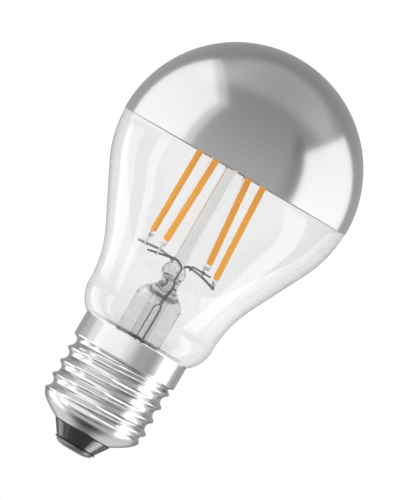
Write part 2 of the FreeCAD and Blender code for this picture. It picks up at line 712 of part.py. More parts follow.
def strip_end_clip(leg_length, wire_side):
    """A folded clip on the strip's end at the origin, with a leg down along -Z."""
    outer = (CLIP_WIDTH, STRIP_THICKNESS + 2 * CLIP_WALL, CLIP_LENGTH + CLIP_WALL)
    clip = block(outer, (0, 0), -CLIP_WALL)
    clip = clip.cut(block((CLIP_WIDTH * 2, STRIP_THICKNESS, CLIP_LENGTH * 2), (0, 0), 0))
    leg = block((LEG_THICKNESS, LEG_WIDTH, leg_length), (0, 0), -CLIP_WALL / 2 - leg_length)
    leg = placed(leg, Vector(), wire_side, AXIS)
    leg.translate(Vector(wire_side).normalize() * (LEAD_RADIUS + LEG_THICKNESS / 2 + WELD_CLEARANCE))
    return clip.fuse(leg)


def filament(name):
    """The pieces of one filament: strip, chips, coat, and a clip with a leg at each end."""
    foot, head = filament_foot(name), filament_head(name)
    along = (head - foot).normalize()
    outward = heading((CAGE_FOOT_ANGLE + CAGE_HEAD_ANGLE) / 2 + 90 * FILAMENT_QUARTERS[name])
    across = outward.cross(along)
    body = LOWER_LEG + COAT_SCATTER * COAT_SHARES[name]
    coat_x = COAT_SHIFT if name in DOWNWARD_FILAMENTS else -COAT_SHIFT
    strip = block(
        (STRIP_WIDTH, STRIP_THICKNESS, COAT_LENGTH + 2 * STRIP_OVERHANG), (0, 0), body - STRIP_OVERHANG
    )
    pitch = COAT_LENGTH / CHIP_COUNT
    chips = [
        block((CHIP_WIDTH, CHIP_HEIGHT, CHIP_LENGTH), (coat_x, (STRIP_THICKNESS + CHIP_HEIGHT) / 2),
              body + pitch * (i + 0.5) - CHIP_LENGTH / 2)
        for i in range(CHIP_COUNT)
    ]
    coat = rounded_bar(COAT_WIDTH, COAT_THICKNESS, COAT_LENGTH, COAT_ROUNDING)
    coat.translate(point(coat_x, body))
    coat = coat.cut([strip] + chips)
    frame_turn = placed(Part.Vertex(0, 0, 0), ORIGIN, across, along).Placement.Rotation
    lower_side = frame_turn.inverted().multVec(along.cross(heading(ARM_HEADINGS[name])))
    upper_side = frame_turn.inverted().multVec(along.cross(filament_head(name) - POST_HEAD))
    span = (head - foot).Length
    lower_leg = body - STRIP_OVERHANG + LEG_TAIL
    upper_leg = span - (body + COAT_LENGTH + STRIP_OVERHANG) + LEG_TAIL
    lower = strip_end_clip(lower_leg, Vector(lower_side.x, lower_side.y, 0))
    lower.translate(point(0, body - STRIP_OVERHANG))
    upper = strip_end_clip(upper_leg, Vector(upper_side.x, -upper_side.y, 0))
    upper.rotate(ORIGIN, Vector(1, 0, 0), 180)
    upper.translate(point(0, body + COAT_LENGTH + STRIP_OVERHANG))
    pieces = {
        "substrate": strip,
        "chips": Part.makeCompound(chips),
        "phosphor": coat,
        "lower_clip": lower,
        "upper_clip": upper,
    }
    return {f"{name}_{part}": placed(shape, foot, across, along) for part, shape in pieces.items()}


# Driver
def driver_board():
    """The round board, drilled for every wire that passes it."""
    board = cylinder(BOARD_RADIUS, BOARD_BOTTOM, BOARD_TOP)
    shell_wire_place = heading(SHELL_WIRE_HEADING) * (BOARD_RADIUS - SHELL_WIRE_INSET)
    holes = [
        (COPPER_RADIUS, LEFT_COPPER),
        (COPPER_RADIUS, RIGHT_COPPER),
        (CONTACT_WIRE_RADIUS, ORIGIN),
        (SHELL_WIRE_RADIUS, shell_wire_place),
    ]
    holes += [(CAPACITOR_WIRE_RADIUS, place) for place in capacitor_wire_places()]
    holes += [(RESISTOR_WIRE_RADIUS, place) for place in resistor_wire_places()]
    return board.cut([
        cylinder(radius + HOLE_CLEARANCE, BOARD_BOTTOM, BOARD_TOP, place.x, place.y)
        for radius, place in holes
    ])


def capacitor_wire_places():
    """Where the capacitor's two wires pass the board, past its right-hand end."""
    x = CAPACITOR_LENGTH / 2 + CAPACITOR_WIRE_REACH
    return [Vector(x, CAPACITOR_Y + side * CAPACITOR_WIRE_SPACING / 2, 0) for side in (-1, 1)]


def smoothing_capacitor():
    """A can lying under the board, with the crimped groove near its wires' end."""
    groove_z = CAPACITOR_LENGTH - CAPACITOR_GROOVE_PLACE
    rolled = CAPACITOR_GROOVE * 2
    can = turned_polygon(
        (0, 0),
        (CAPACITOR_RADIUS - CAPACITOR_GROOVE, 0),
        (CAPACITOR_RADIUS, CAPACITOR_GROOVE),
        (CAPACITOR_RADIUS, groove_z - rolled),
        (CAPACITOR_RADIUS - CAPACITOR_GROOVE, groove_z),
        (CAPACITOR_RADIUS, groove_z + rolled),
        (CAPACITOR_RADIUS, CAPACITOR_LENGTH - CAPACITOR_GROOVE),
        (CAPACITOR_RADIUS - CAPACITOR_GROOVE, CAPACITOR_LENGTH),
        (0, CAPACITOR_LENGTH),
    )
    axis_z = BOARD_BOTTOM - SEATING_GAP - CAPACITOR_RADIUS
    return placed(can, Vector(-CAPACITOR_LENGTH / 2, CAPACITOR_Y, axis_z), AXIS, Vector(1, 0, 0))


def capacitor_wires():
    """The two wires out of the capacitor's end and up through the board."""
    axis_z = BOARD_BOTTOM - SEATING_GAP - CAPACITOR_RADIUS
    wires = []
    for place in capacitor_wire_places():
        corner = Vector(place.x, place.y, axis_z)
        start = Vector(CAPACITOR_LENGTH / 2, place.y, axis_z)
        end = Vector(place.x, place.y, BOARD_TOP + WIRE_TAIL / 2)
        wires.append(bent_wire([start, corner, end], CAPACITOR_WIRE_REACH / 2, CAPACITOR_WIRE_RADIUS))
    return Part.makeCompound(wires)


def choke_core():
    """The ferrite drum, standing under the board."""
    head = BOARD_BOTTOM - SEATING_GAP
    foot = head - CHOKE_HEIGHT
    drum = turned_polygon(
        (0, foot), (CHOKE_RADIUS, foot), (CHOKE_RADIUS, foot + CHOKE_FLANGE),
        (CHOKE_CORE_RADIUS, foot + CHOKE_FLANGE), (CHOKE_CORE_RADIUS, head - CHOKE_FLANGE),
        (CHOKE_RADIUS, head - CHOKE_FLANGE), (CHOKE_RADIUS, head), (0, head),
    )
    drum.translate(Vector(*CHOKE_PLACE, 0))
    return drum


def choke_winding():
    """The wire wound on the drum, as one solid between the flanges."""
    head = BOARD_BOTTOM - SEATING_GAP - CHOKE_FLANGE
    foot = BOARD_BOTTOM - SEATING_GAP - CHOKE_HEIGHT + CHOKE_FLANGE
    wound = CHOKE_RADIUS - CHOKE_WINDING_DEPTH
    winding = turned_polygon(
        (CHOKE_CORE_RADIUS, foot), (wound, foot), (wound, head), (CHOKE_CORE_RADIUS, head)
    )
    winding.translate(Vector(*CHOKE_PLACE, 0))
    return winding


def resistor_wire_places():
    """Where the fuse resistor's two wires pass the board."""
    half = RESISTOR_LENGTH / 2 + RESISTOR_WIRE_REACH
    return [Vector(RESISTOR_PLACE[0], RESISTOR_PLACE[1] + side * half, 0) for side in (-1, 1)]


def fuse_resistor():
    """A wire-wound fusible resistor lying under the board, with a wire out of each end."""
    axis_z = BOARD_BOTTOM - SEATING_GAP - RESISTOR_RADIUS
    centre = Vector(*RESISTOR_PLACE, axis_z)
    body = Part.makeCylinder(
        RESISTOR_RADIUS, RESISTOR_LENGTH, centre - Vector(0, RESISTOR_LENGTH / 2, 0), Vector(0, 1, 0)
    )
    rims = [edge for edge in body.Edges if edge.Closed]
    pieces = [body.makeFillet(RESISTOR_ROUNDING, rims)]
    for place in resistor_wire_places():
        corner = Vector(place.x, place.y, axis_z)
        end = Vector(place.x, place.y, BOARD_TOP + WIRE_TAIL / 2)
        bend = RESISTOR_WIRE_RADIUS * 2
        pieces.append(bent_wire([centre, corner, end], bend, RESISTOR_WIRE_RADIUS))
    return pieces[0].fuse(pieces[1:])


def flat_package(size, place, pins_per_side):
    """A moulded package on top of the board, with a row of pins along two of its sides."""
    bottom = BOARD_TOP + SEATING_GAP
    pieces = [block(size, place, bottom)]
    pin_width, pin_reach, pin_thickness = PIN_SIZE
    for side in (-1, 1):
        for i in range(pins_per_side):
            x = place[0] + (i - (pins_per_side - 1) / 2) * PIN_SPACING
            y = place[1] + side * size[1] / 2
            pieces.append(block((pin_width, pin_reach * 2, pin_thickness), (x, y), BOARD_TOP))
    return pieces[0].fuse(pieces[1:])


def sense_resistors():
    """Two chip resistors side by side on top of the board."""
    places = [(SENSE_PLACE[0], SENSE_PLACE[1] + side * SENSE_SPACING / 2) for side in (-1, 1)]
    return Part.makeCompound([block(SENSE_SIZE, place, BOARD_TOP) for place in places])


def contact_wire():
    """The wire from the board down into the contact's shank."""
    return cylinder(CONTACT_WIRE_RADIUS, SHANK_FLOOR, BOARD_TOP + WIRE_TAIL / 2)


def shell_wire():
    """The wire from the board's edge to the shell's wall."""
    outward = heading(SHELL_WIRE_HEADING)
    stand = outward * (BOARD_RADIUS - SHELL_WIRE_INSET)
    start = stand + point(0, BOARD_BOTTOM - WIRE_TAIL)
    corner = stand + point(0, BOARD_TOP + SHELL_WIRE_RISE)
    end = outward * SHELL_BORE_RADIUS + point(0, BOARD_TOP + SHELL_WIRE_RISE)
    return bent_wire([start, corner, end], SHELL_WIRE_BEND, SHELL_WIRE_RADIUS)


def lamp():
    """Every piece of the lamp by its name."""
    left = lead_route(LEFT_LEAD, -1, "filament_1")
    right = lead_route(RIGHT_LEAD, 1, "filament_4")
    pieces = {
        "glass_envelope": glass_envelope(),
        "mirror_crown": mirror_crown(),
        "stem_glass": stem_glass(),
        "exhaust_tube": exhaust_tube(),
        "centre_post": centre_post(),
        "seal_wire_left": seal_wire(LEFT_LEAD),
        "seal_wire_right": seal_wire(RIGHT_LEAD),
        "copper_lead_left": copper_lead(LEFT_LEAD, LEFT_COPPER),
        "copper_lead_right": copper_lead(RIGHT_LEAD, RIGHT_COPPER),
        "nickel_lead_left": bent_wire(left, LEAD_BEND, LEAD_RADIUS),
        "nickel_lead_right": bent_wire(right, LEAD_BEND, LEAD_RADIUS),
        "jumper_left": jumper(left, "filament_2"),
        "jumper_right": jumper(right, "filament_3"),
        "head_wire_lower": head_wire(False),
        "head_wire_upper": head_wire(True),
        "cap_shell": cap_shell(),
        "cap_insulator": insulator(),
        "centre_contact": centre_contact(),
        "cap_cement": cement(),
        "driver_board": driver_board(),
        "smoothing_capacitor": smoothing_capacitor(),
        "capacitor_wires": capacitor_wires(),
        "choke_core": choke_core(),
        "choke_winding": choke_winding(),
        "fuse_resistor": fuse_resistor(),
        "bridge_rectifier": flat_package(BRIDGE_SIZE, BRIDGE_PLACE, 2),
        "driver_chip": flat_package(DRIVER_CHIP_SIZE, DRIVER_CHIP_PLACE, PINS_PER_SIDE),
        "sense_resistors": sense_resistors(),
        "contact_wire": contact_wire(),
        "shell_wire": shell_wire(),
    }
    for name in FILAMENT_QUARTERS:
        pieces.update(filament(name))
    return pieces


if __name__ == "__main__":
    os.makedirs("parts", exist_ok=True)
    for name, shape in lamp().items():
        shape.exportStep(f"parts/{name}.step")
        print(f"{name}: {len(shape.Solids)} solid(s), valid {shape.isValid()}, {shape.Volume:.2f} mm3")
    print(f"overall height {GLOBE_Z + GLOBE_RADIUS + MIRROR_COAT:.2f} mm")
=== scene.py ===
"""Looks of a silver crown lamp bulb.

A clear pear-shaped bulb with a satin mirror on its crown, four amber filaments in a wire cage on a
glass stem, and a rolled metal screw cap with a black glass insulator. Every new surface is
worked out from a formula in millimetres and put into its mesh in metres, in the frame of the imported
model: the lamp axis is Z, the origin is the tip of the centre contact, and the viewer is on the -Y side.
"""
import logging
import math
from collections.abc import Sequence
from dataclasses import dataclass, field
from enum import Enum

import bmesh
import bpy
import numpy as np
from mathutils import Matrix, Vector


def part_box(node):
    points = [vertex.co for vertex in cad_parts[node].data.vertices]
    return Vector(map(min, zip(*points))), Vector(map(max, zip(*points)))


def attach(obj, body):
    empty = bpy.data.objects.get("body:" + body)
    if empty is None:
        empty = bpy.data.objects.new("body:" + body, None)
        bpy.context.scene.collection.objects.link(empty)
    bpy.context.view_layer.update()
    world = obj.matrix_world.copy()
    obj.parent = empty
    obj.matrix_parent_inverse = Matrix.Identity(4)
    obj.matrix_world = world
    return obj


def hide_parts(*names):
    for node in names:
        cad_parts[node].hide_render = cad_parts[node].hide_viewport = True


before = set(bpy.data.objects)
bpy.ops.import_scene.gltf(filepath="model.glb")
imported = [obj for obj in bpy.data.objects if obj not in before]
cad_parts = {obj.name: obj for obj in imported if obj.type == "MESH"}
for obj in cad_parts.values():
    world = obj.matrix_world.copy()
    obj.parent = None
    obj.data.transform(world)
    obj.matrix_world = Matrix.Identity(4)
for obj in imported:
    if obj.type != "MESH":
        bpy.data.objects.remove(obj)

log = logging.getLogger("lamp")

MM = 0.001
TURN = 2 * math.pi
ROOT_BODY = "root"

Number = float | bpy.types.NodeSocket


# Surfaces
@dataclass
class Skin:
    """A surface as a grid of points, in millimetres.

    Attributes:
        points: array of rows by columns by three coordinates; the columns go once round.
        ring_rows: whether the last row is joined to the first.
    """

    points: np.ndarray
    ring_rows: bool = False

    def faces(self, offset: int) -> np.ndarray:
        """Corner numbers of the grid's quads, each one cell of the grid.

        Args:
            offset: number of the grid's first point in its mesh.
        """
        rows, columns = self.points.shape[:2]
        row = np.arange(rows if self.ring_rows else rows - 1)
        row, column = np.meshgrid(row, np.arange(columns), indexing="ij")
        next_row, next_column = (row + 1) % rows, (column + 1) % columns
        corners = [
            row * columns + column,
            row * columns + next_column,
            next_row * columns + next_column,
            next_row * columns + column,
        ]
        return np.stack(corners, axis=-1).reshape(-1, 4) + offset

    def reversed(self) -> "Skin":
        """The same surface with its faces turned the other way."""
        return Skin(self.points[::-1], self.ring_rows)


def make_piece(name: str, skins: Sequence[Skin], sharp_angle: float = 35.0) -> bpy.types.Object:
    """Makes one mesh object of several skins, with its poles and seams welded.

    Args:
        name: the object's name.
        skins: the surfaces it is made of.
        sharp_angle: edges that turn by more than this many degrees stay crisp.

    Returns:
        The object, at the origin, with smooth shading.
    """
    counts = np.cumsum([0] + [skin.points[..., 0].size for skin in skins])
    points = np.concatenate([skin.points.reshape(-1, 3) for skin in skins]) * MM
    quads = np.concatenate([skin.faces(int(count)) for skin, count in zip(skins, counts)])
    mesh = bpy.data.meshes.new(name)
    mesh.vertices.add(len(points))
    mesh.vertices.foreach_set("co", points.astype(np.float32).ravel())
    mesh.loops.add(quads.size)
    mesh.loops.foreach_set("vertex_index", quads.astype(np.int32).ravel())
    mesh.polygons.add(len(quads))
    mesh.polygons.foreach_set("loop_start", np.arange(0, quads.size, 4, dtype=np.int32))
    mesh.update(calc_edges=True)
    weld = bmesh.new()
    weld.from_mesh(mesh)
    bmesh.ops.remove_doubles(weld, verts=weld.verts, dist=1e-7)
    weld.to_mesh(mesh)
    weld.free()
    mesh.polygons.foreach_set("use_smooth", np.ones(len(mesh.polygons), dtype=bool))
    mesh.set_sharp_from_angle(angle=math.radians(sharp_angle))
    mesh.validate()
    piece = bpy.data.objects.new(name, mesh)
    bpy.context.scene.collection.objects.link(piece)
    return piece


def arc(centre: tuple[float, float], radius: float, start: float, end: float, count: int) -> np.ndarray:
    """Points of an arc: the centre plus the radius times the cosine and sine of an even turn.

    Args:
        centre: radius and height of the arc's centre.
        radius: the arc's radius.
        start: first angle, in radians from outwards towards upwards.
        end: last angle.
        count: how many points.
    """
    angle = np.linspace(start, end, count)
    return np.stack([centre[0] + radius * np.cos(angle), centre[1] + radius * np.sin(angle)], axis=1)


def run(start: Sequence[float], end: Sequence[float], count: int) -> np.ndarray:
    """Evenly spaced points from a start to an end, both included."""
    return np.linspace(start, end, count)


def chain(*parts: np.ndarray) -> np.ndarray:
    """The parts end to end as one row of points, with repeated points taken out."""
    points = np.concatenate(parts)
    step = np.linalg.norm(np.diff(points, axis=0), axis=1)
    return points[np.concatenate([[True], step > 1e-6])]


def turned(profile: np.ndarray, columns: int, ring: bool = False) -> Skin:
    """A profile of radius and height carried once round the lamp axis.

    Args:
        profile: array of radius and height, one row a point.
        columns: how many steps make the turn.
        ring: whether the profile closes on itself.
    """
    angle = np.linspace(0, TURN, columns, endpoint=False)
    radius, height = profile[:, 0, None], profile[:, 1, None]
    points = np.stack(np.broadcast_arrays(radius * np.cos(angle), radius * np.sin(angle), height), axis=-1)
    return Skin(points, ring_rows=ring)


def ovals(
    centre_x: np.ndarray, half_x: np.ndarray, half_y: np.ndarray, height: np.ndarray, columns: int
) -> Skin:
    """A stack of level ellipses: each row has its own centre, two half-axes and height."""
    angle = np.linspace(0, TURN, columns, endpoint=False)
    x = centre_x[:, None] + half_x[:, None] * np.cos(angle)
    y = half_y[:, None] * np.sin(angle)
    return Skin(np.stack(np.broadcast_arrays(x, y, height[:, None]), axis=-1))


def eased(controls: np.ndarray, steps: int) -> np.ndarray:
    """A smooth curve through control rows: in each span, the cubic whose slope at a control is
    half the step from the one before it to the one after it.

    Args:
        controls: array of control rows.
        steps: how many points each span gets.
    """
    padded = np.concatenate([2 * controls[:1] - controls[1:2], controls, 2 * controls[-1:] - controls[-2:-1]])
    slope = (padded[2:] - padded[:-2]) / 2
    t = np.linspace(0, 1, steps, endpoint=False)[None, :, None]
    low, high = controls[:-1, None], controls[1:, None]
    slope_low, slope_high = slope[:-1, None], slope[1:, None]
    curve = (
        low * (2 * t**3 - 3 * t**2 + 1)
        + high * (3 * t**2 - 2 * t**3)
        + slope_low * (t**3 - 2 * t**2 + t)
        + slope_high * (t**3 - t**2)
    )
    return np.concatenate([curve.reshape(-1, controls.shape[1]), controls[-1:]])


def smoothstep(low: float, high: float, value: np.ndarray) -> np.ndarray:
    """0 below low, 1 above high, and between them the cubic that leaves both level."""
    share = np.clip((value - low) / (high - low), 0, 1)
    return share * share * (3 - 2 * share)


def bent_path(points: Sequence[Vector], bend: float, arc_steps: int = 8) -> np.ndarray:
    """Straight runs joined by tangent arcs, as rows of three coordinates.

    Args:
        points: the route's corners, with its two ends.
        bend: radius of every arc.
        arc_steps: how many points an arc gets.
    """
    parts = [np.array([points[0]])]
    for before, corner, after in zip(points, points[1:], points[2:]):
        back, on = (before - corner).normalized(), (after - corner).normalized()
        half = back.angle(on) / 2
        inward = (back + on).normalized()
        centre = corner + inward * (bend / math.sin(half))
        level = (on - back).normalized()
        sweep = math.pi / 2 - half
        angle = np.linspace(-sweep, sweep, arc_steps)[:, None]
        radial = np.cos(angle) * np.array(-inward) + np.sin(angle) * np.array(level)
        parts.append(np.array(centre) + bend * radial)
    parts.append(np.array([points[-1]]))
    return np.concatenate(parts)


def tube(path: np.ndarray, radius: float, sides: int = 20, end_steps: int = 4) -> Skin:
    """A round tube along a path, with domed ends: each row is a circle square to the path.

    Args:
        path: the middle line, one row a point.
        radius: the tube's radius.
        sides: how many columns go round it.
        end_steps: how many rows make each dome.
    """
    tangent = np.gradient(path, axis=0)
    tangent /= np.linalg.norm(tangent, axis=1, keepdims=True)
    reference = np.linalg.svd(path - path.mean(axis=0))[2][2]
    normal = reference - (tangent @ reference)[:, None] * tangent
    normal /= np.linalg.norm(normal, axis=1, keepdims=True)
    dome = np.linspace(math.pi / 2, 0, end_steps, endpoint=False)[:, None]

    def cap(at: int, outward: float) -> tuple[np.ndarray, np.ndarray, np.ndarray, np.ndarray]:
        """Centres, radii, tangents and normals of one domed end, from its pole inwards."""
        depth = radius * (1 - np.sin(dome))
        centre = path[at] - outward * tangent[at] * depth
        rows = (len(dome), 1)
        return centre, radius * np.cos(dome[:, 0]), np.tile(tangent[at], rows), np.tile(normal[at], rows)

    first, last = cap(0, -1.0), cap(-1, 1.0)
    inner = slice(1, -1)
    shift_first = path[0] + tangent[0] * radius
    shift_last = path[-1] - tangent[-1] * radius
    centres = np.concatenate([first[0], [shift_first], path[inner], [shift_last], last[0][::-1]])
    radii = np.concatenate([first[1], np.full(len(path), radius), last[1][::-1]])
    tangents = np.concatenate([first[2], tangent[:1], tangent[inner], tangent[-1:], last[2][::-1]])
    normals = np.concatenate([first[3], normal[:1], normal[inner], normal[-1:], last[3][::-1]])
    side = np.cross(tangents, normals)
    angle = np.linspace(0, TURN, sides, endpoint=False)[None, :, None]
    ring = normals[:, None] * np.cos(angle) + side[:, None] * np.sin(angle)
    return Skin(centres[:, None] + radii[:, None, None] * ring)


def ball(centre: Sequence[float], radii: Sequence[float], rows: int = 10, columns: int = 16) -> Skin:
    """An ellipsoid: the sphere of two angles, stretched by three radii."""
    up = np.linspace(-math.pi / 2, math.pi / 2, rows)[:, None]
    round_ = np.linspace(0, TURN, columns, endpoint=False)
    unit = np.stack(np.broadcast_arrays(
        np.cos(up) * np.cos(round_), np.cos(up) * np.sin(round_), np.sin(up)
    ), axis=-1)
    return Skin(np.asarray(centre) + unit * np.asarray(radii))


def bar(width: np.ndarray, thickness: np.ndarray, along: np.ndarray, power: float, columns: int = 32) -> Skin:
    """A bar with rounded edges along Z: each row is a superellipse, whose sides are flatter and
    whose corners are tighter for a higher power.

    Args:
        width: full width along X for each row.
        thickness: full thickness along Y for each row.
        along: height of each row.
        power: the superellipse's power.
        columns: how many columns go round it.
    """
    angle = np.linspace(0, TURN, columns, endpoint=False)
    cosine, sine = np.cos(angle), np.sin(angle)
    share = (np.abs(cosine) ** power + np.abs(sine) ** power) ** (-1 / power)
    x = width[:, None] / 2 * cosine * share
    y = thickness[:, None] / 2 * sine * share
    return Skin(np.stack(np.broadcast_arrays(x, y, along[:, None]), axis=-1))


@dataclass(frozen=True)
class Place:
    """A local frame: an origin, and the directions that local X and Z lie along."""

    origin: Vector
    across: Vector
    along: Vector

    def put(self, skin: Skin) -> Skin:
        """The skin moved from the local frame into the lamp's frame."""
        z = self.along.normalized()
        y = z.cross(self.across).normalized()
        axes = np.array([y.cross(z), y, z])
        return Skin(skin.points @ axes + np.array(self.origin), skin.ring_rows)


# Finishes
class NodeSheet:
    """A node tree with short calls that add nodes and join them."""

    def __init__(self, tree: bpy.types.NodeTree) -> None:
        """Empties the tree and keeps it."""
        self.tree = tree
        tree.nodes.clear()

    def feed(self, socket: bpy.types.NodeSocket, value: Number | Sequence[float]) -> None:
        """Joins a socket to another one, or sets its own value."""
        if isinstance(value, bpy.types.NodeSocket):
            self.tree.links.new(value, socket)
        else:
            socket.default_value = value

    def add(self, kind: str, inputs: dict | None = None, **settings: object) -> bpy.types.Node:
        """Adds a node.

        Args:
            kind: the node's type, without its common first word.
            inputs: value or socket for each input, by name or number.
            settings: the node's own settings.

        Returns:
            The node.
        """
        node = self.tree.nodes.new("ShaderNode" + kind)
        for name, value in settings.items():
            setattr(node, name, value)
        for name, value in (inputs or {}).items():
            self.feed(node.inputs[name], value)
        return node

    def math(self, operation: str, *values: Number) -> bpy.types.NodeSocket:
        """The result of a math node."""
        node = self.add("Math", dict(enumerate(values)), operation=operation)
        return node.outputs[0]

    def place(self, stretch: Sequence[float] = (1, 1, 1)) -> bpy.types.NodeSocket:
        """Object coordinates, stretched by three factors."""
        coordinates = self.add("TexCoord").outputs["Object"]
        return self.add("Mapping", {"Vector": coordinates, "Scale": stretch}).outputs[0]

    def noise(
        self, scale: float, detail: float = 3.0, stretch: Sequence[float] = (1, 1, 1)
    ) -> bpy.types.NodeSocket:
        """Smooth noise on object coordinates, 0 to 1.

        Args:
            scale: how many grains there are to a metre.
            detail: how many finer layers are added.
            stretch: factors on the three coordinates.
        """
        inputs = {"Vector": self.place(stretch), "Scale": scale, "Detail": detail}
        return self.add("TexNoise", inputs).outputs[0]

    def step(self, value: bpy.types.NodeSocket, low: float, high: float) -> bpy.types.NodeSocket:
        """0 at low and 1 at high, with a smooth flank; low may be the greater of the two."""
        ends = (low, high, 0.0, 1.0) if low < high else (high, low, 1.0, 0.0)
        inputs = dict(zip(("From Min", "From Max", "To Min", "To Max"), ends))
        return self.add("MapRange", {"Value": value, **inputs}, interpolation_type="SMOOTHSTEP").outputs[0]

    def window(self, value: bpy.types.NodeSocket, *edges: float) -> bpy.types.NodeSocket:
        """1 between the two inner edges and 0 outside the two outer ones, with smooth flanks."""
        return self.math("MULTIPLY", self.step(value, *edges[:2]), self.step(value, *edges[:1:-1]))

    def seen(self) -> bpy.types.NodeSocket:
        """1 for what the camera sees, straight or through glass, and 0 for all other rays."""
        rays = self.add("LightPath").outputs
        return self.math("MAXIMUM", rays["Is Camera Ray"], rays["Is Transmission Ray"])

    def oval(
        self, x: bpy.types.NodeSocket, y: bpy.types.NodeSocket, half_x: float, middle_y: float, half_y: float
    ) -> bpy.types.NodeSocket:
        """0 in the middle of an oval and 1 on its edge: the sum of the squares of x and y, each
        taken from the middle and as a share of its half-axis."""
        share_x = self.math("DIVIDE", x, half_x)
        share_y = self.math("DIVIDE", self.math("SUBTRACT", y, middle_y), half_y)
        squares = [self.math("MULTIPLY", share, share) for share in (share_x, share_y)]
        return self.math("ADD", *squares)

    def between(self, share: Number, low: float, high: float) -> bpy.types.NodeSocket:
        """A value from low to high as the share goes from 0 to 1."""
        return self.add("MapRange", {"Value": share, "To Min": low, "To Max": high}).outputs[0]

    def blend(self, share: Number, low: Sequence[float], high: Sequence[float]) -> bpy.types.NodeSocket:
        """A colour from low to high as the share goes from 0 to 1."""
        node = self.add("Mix", data_type="RGBA")
        self.feed(node.inputs["Factor"], share)
        self.feed(node.inputs[6], (*low, 1))
        self.feed(node.inputs[7], (*high, 1))
        return node.outputs[2]

    def bump(self, height: Number, rise: float) -> bpy.types.NodeSocket:
        """A normal for a surface raised by up to rise, in metres, where the height is 1."""
        return self.add("Bump", {"Height": height, "Distance": rise, "Strength": 1.0}).outputs[0]

    def surface(self, inputs: dict) -> bpy.types.Node:
        """A principled shader joined to the output; the output node is returned."""
        shader = self.add("BsdfPrincipled", inputs)
        return self.add("OutputMaterial", {"Surface": shader.outputs[0]})


def sheet_for(name: str) -> tuple[bpy.types.Material, NodeSheet]:
    """A new material with an empty node tree."""
    material = bpy.data.materials.new(name)
    material.use_nodes = True
    return material, NodeSheet(material.node_tree)


@dataclass(frozen=True)
class ClearGlass:
    """Clear glass that darkens a little with its depth, with a faintly wavy skin.

    Attributes:
        name: the material's name.
        through: how much each skin lets through, by colour.
        tint: what the glass's depth lets through, by colour.
        density: how fast it darkens with depth, to a metre.
        waves: how many skin waves there are to a metre.
        wave_rise: their rise in metres.
        index: refractive index.
        wrinkled: heights in metres between which pressing has left fine wrinkles too.
        low_share: how much of this light its lower part lets through, a painted shade that darkens it.
        shaded_below: height in metres below which the painted shade is full.
        unshaded_above: height in metres from which there is none.
        wrinkles: how many wrinkles there are to a metre, along each coordinate.
        wrinkle_fade: how far past their heights the wrinkles fade out, in metres.
    """

    name: str
    through: float = 0.955
    tint: tuple[float, float, float] = (0.30, 0.33, 0.34)
    density: float = 60.0
    waves: float = 45.0
    wave_rise: float = 0.00001
    index: float = 1.5
    wrinkled: tuple[float, float] = (0.0, 0.0)
    low_share: float = 1.0
    shaded_below: float = 0.036
    unshaded_above: float = 0.047
    wrinkles: tuple[float, float, float] = (1500.0, 1500.0, 2600.0)
    wrinkle_fade: float = 0.001

    def material(self) -> bpy.types.Material:
        """Makes the material."""
        material, sheet = sheet_for(self.name)
        low, high = self.wrinkled
        height = sheet.add("SeparateXYZ", {0: sheet.place()}).outputs[2]
        pressed = sheet.window(height, low - self.wrinkle_fade, low, high, high + self.wrinkle_fade)
        wrinkles = sheet.math("MULTIPLY", pressed, sheet.noise(1.0, 2.0, self.wrinkles))
        relief = sheet.math("ADD", sheet.noise(self.waves, 1.0), wrinkles)
        # Painted shade: below a height the glass lets through a little less, so its lower part looks darker.
        unshaded = sheet.step(height, self.shaded_below, self.unshaded_above)
        output = sheet.surface({
            "Base Color": sheet.blend(unshaded, (self.through * self.low_share,) * 3, (self.through,) * 3),
            "Roughness": 0.0,
            "IOR": self.index,
            "Transmission Weight": 1.0,
            "Normal": sheet.bump(relief, self.wave_rise),
        })
        depth = sheet.add("VolumeAbsorption", {"Color": (*self.tint, 1), "Density": self.density})
        sheet.feed(output.inputs["Volume"], depth.outputs[0])
        return material


@dataclass(frozen=True)
class SatinMirror:
    """Silver coat with a satin skin.

    Attributes:
        name: the material's name.
        colour: the metal's colour.
        smooth: lowest roughness.
        rough: highest roughness.
    """

    name: str
    colour: tuple[float, float, float] = (0.71, 0.727, 0.722)
    smooth: float = 0.15
    rough: float = 0.19

    def material(self) -> bpy.types.Material:
        """Makes the material."""
        material, sheet = sheet_for(self.name)
        cloud = sheet.noise(60.0, 3.0)
        grain = sheet.noise(5200.0, 1.0)
        sheet.surface({
            "Base Color": (*self.colour, 1),
            "Metallic": 1.0,
            "Roughness": sheet.between(cloud, self.smooth, self.rough),
            "Normal": sheet.bump(grain, 0.0000012),
        })
        return material


@dataclass(frozen=True)
class DrawnMetal:
    """Metal with fine lines round the lamp axis or along a wire, a little duller in places.

    Attributes:
        name: the material's name.
        bright: colour where it is cleanest.
        dull: colour where it is dullest.
        smooth: lowest roughness.
        rough: highest roughness.
        lines: how many lines there are to a metre, along each coordinate.
        line_rise: the lines' rise in metres.
        cloud: how many dull patches there are to a metre.
    """

    name: str
    bright: tuple[float, float, float]
    dull: tuple[float, float, float]
    smooth: float
    rough: float
    lines: tuple[float, float, float]
    line_rise: float = 0.000002
    cloud: float = 160.0

    def material(self) -> bpy.types.Material:
        """Makes the material."""
        material, sheet = sheet_for(self.name)
        patches = sheet.noise(self.cloud, 4.0)
        sheet.surface({
            "Base Color": sheet.blend(patches, self.bright, self.dull),
            "Metallic": 1.0,
            "Roughness": sheet.between(patches, self.smooth, self.rough),
            "Normal": sheet.bump(sheet.noise(1.0, 2.0, self.lines), self.line_rise),
        })
        return material


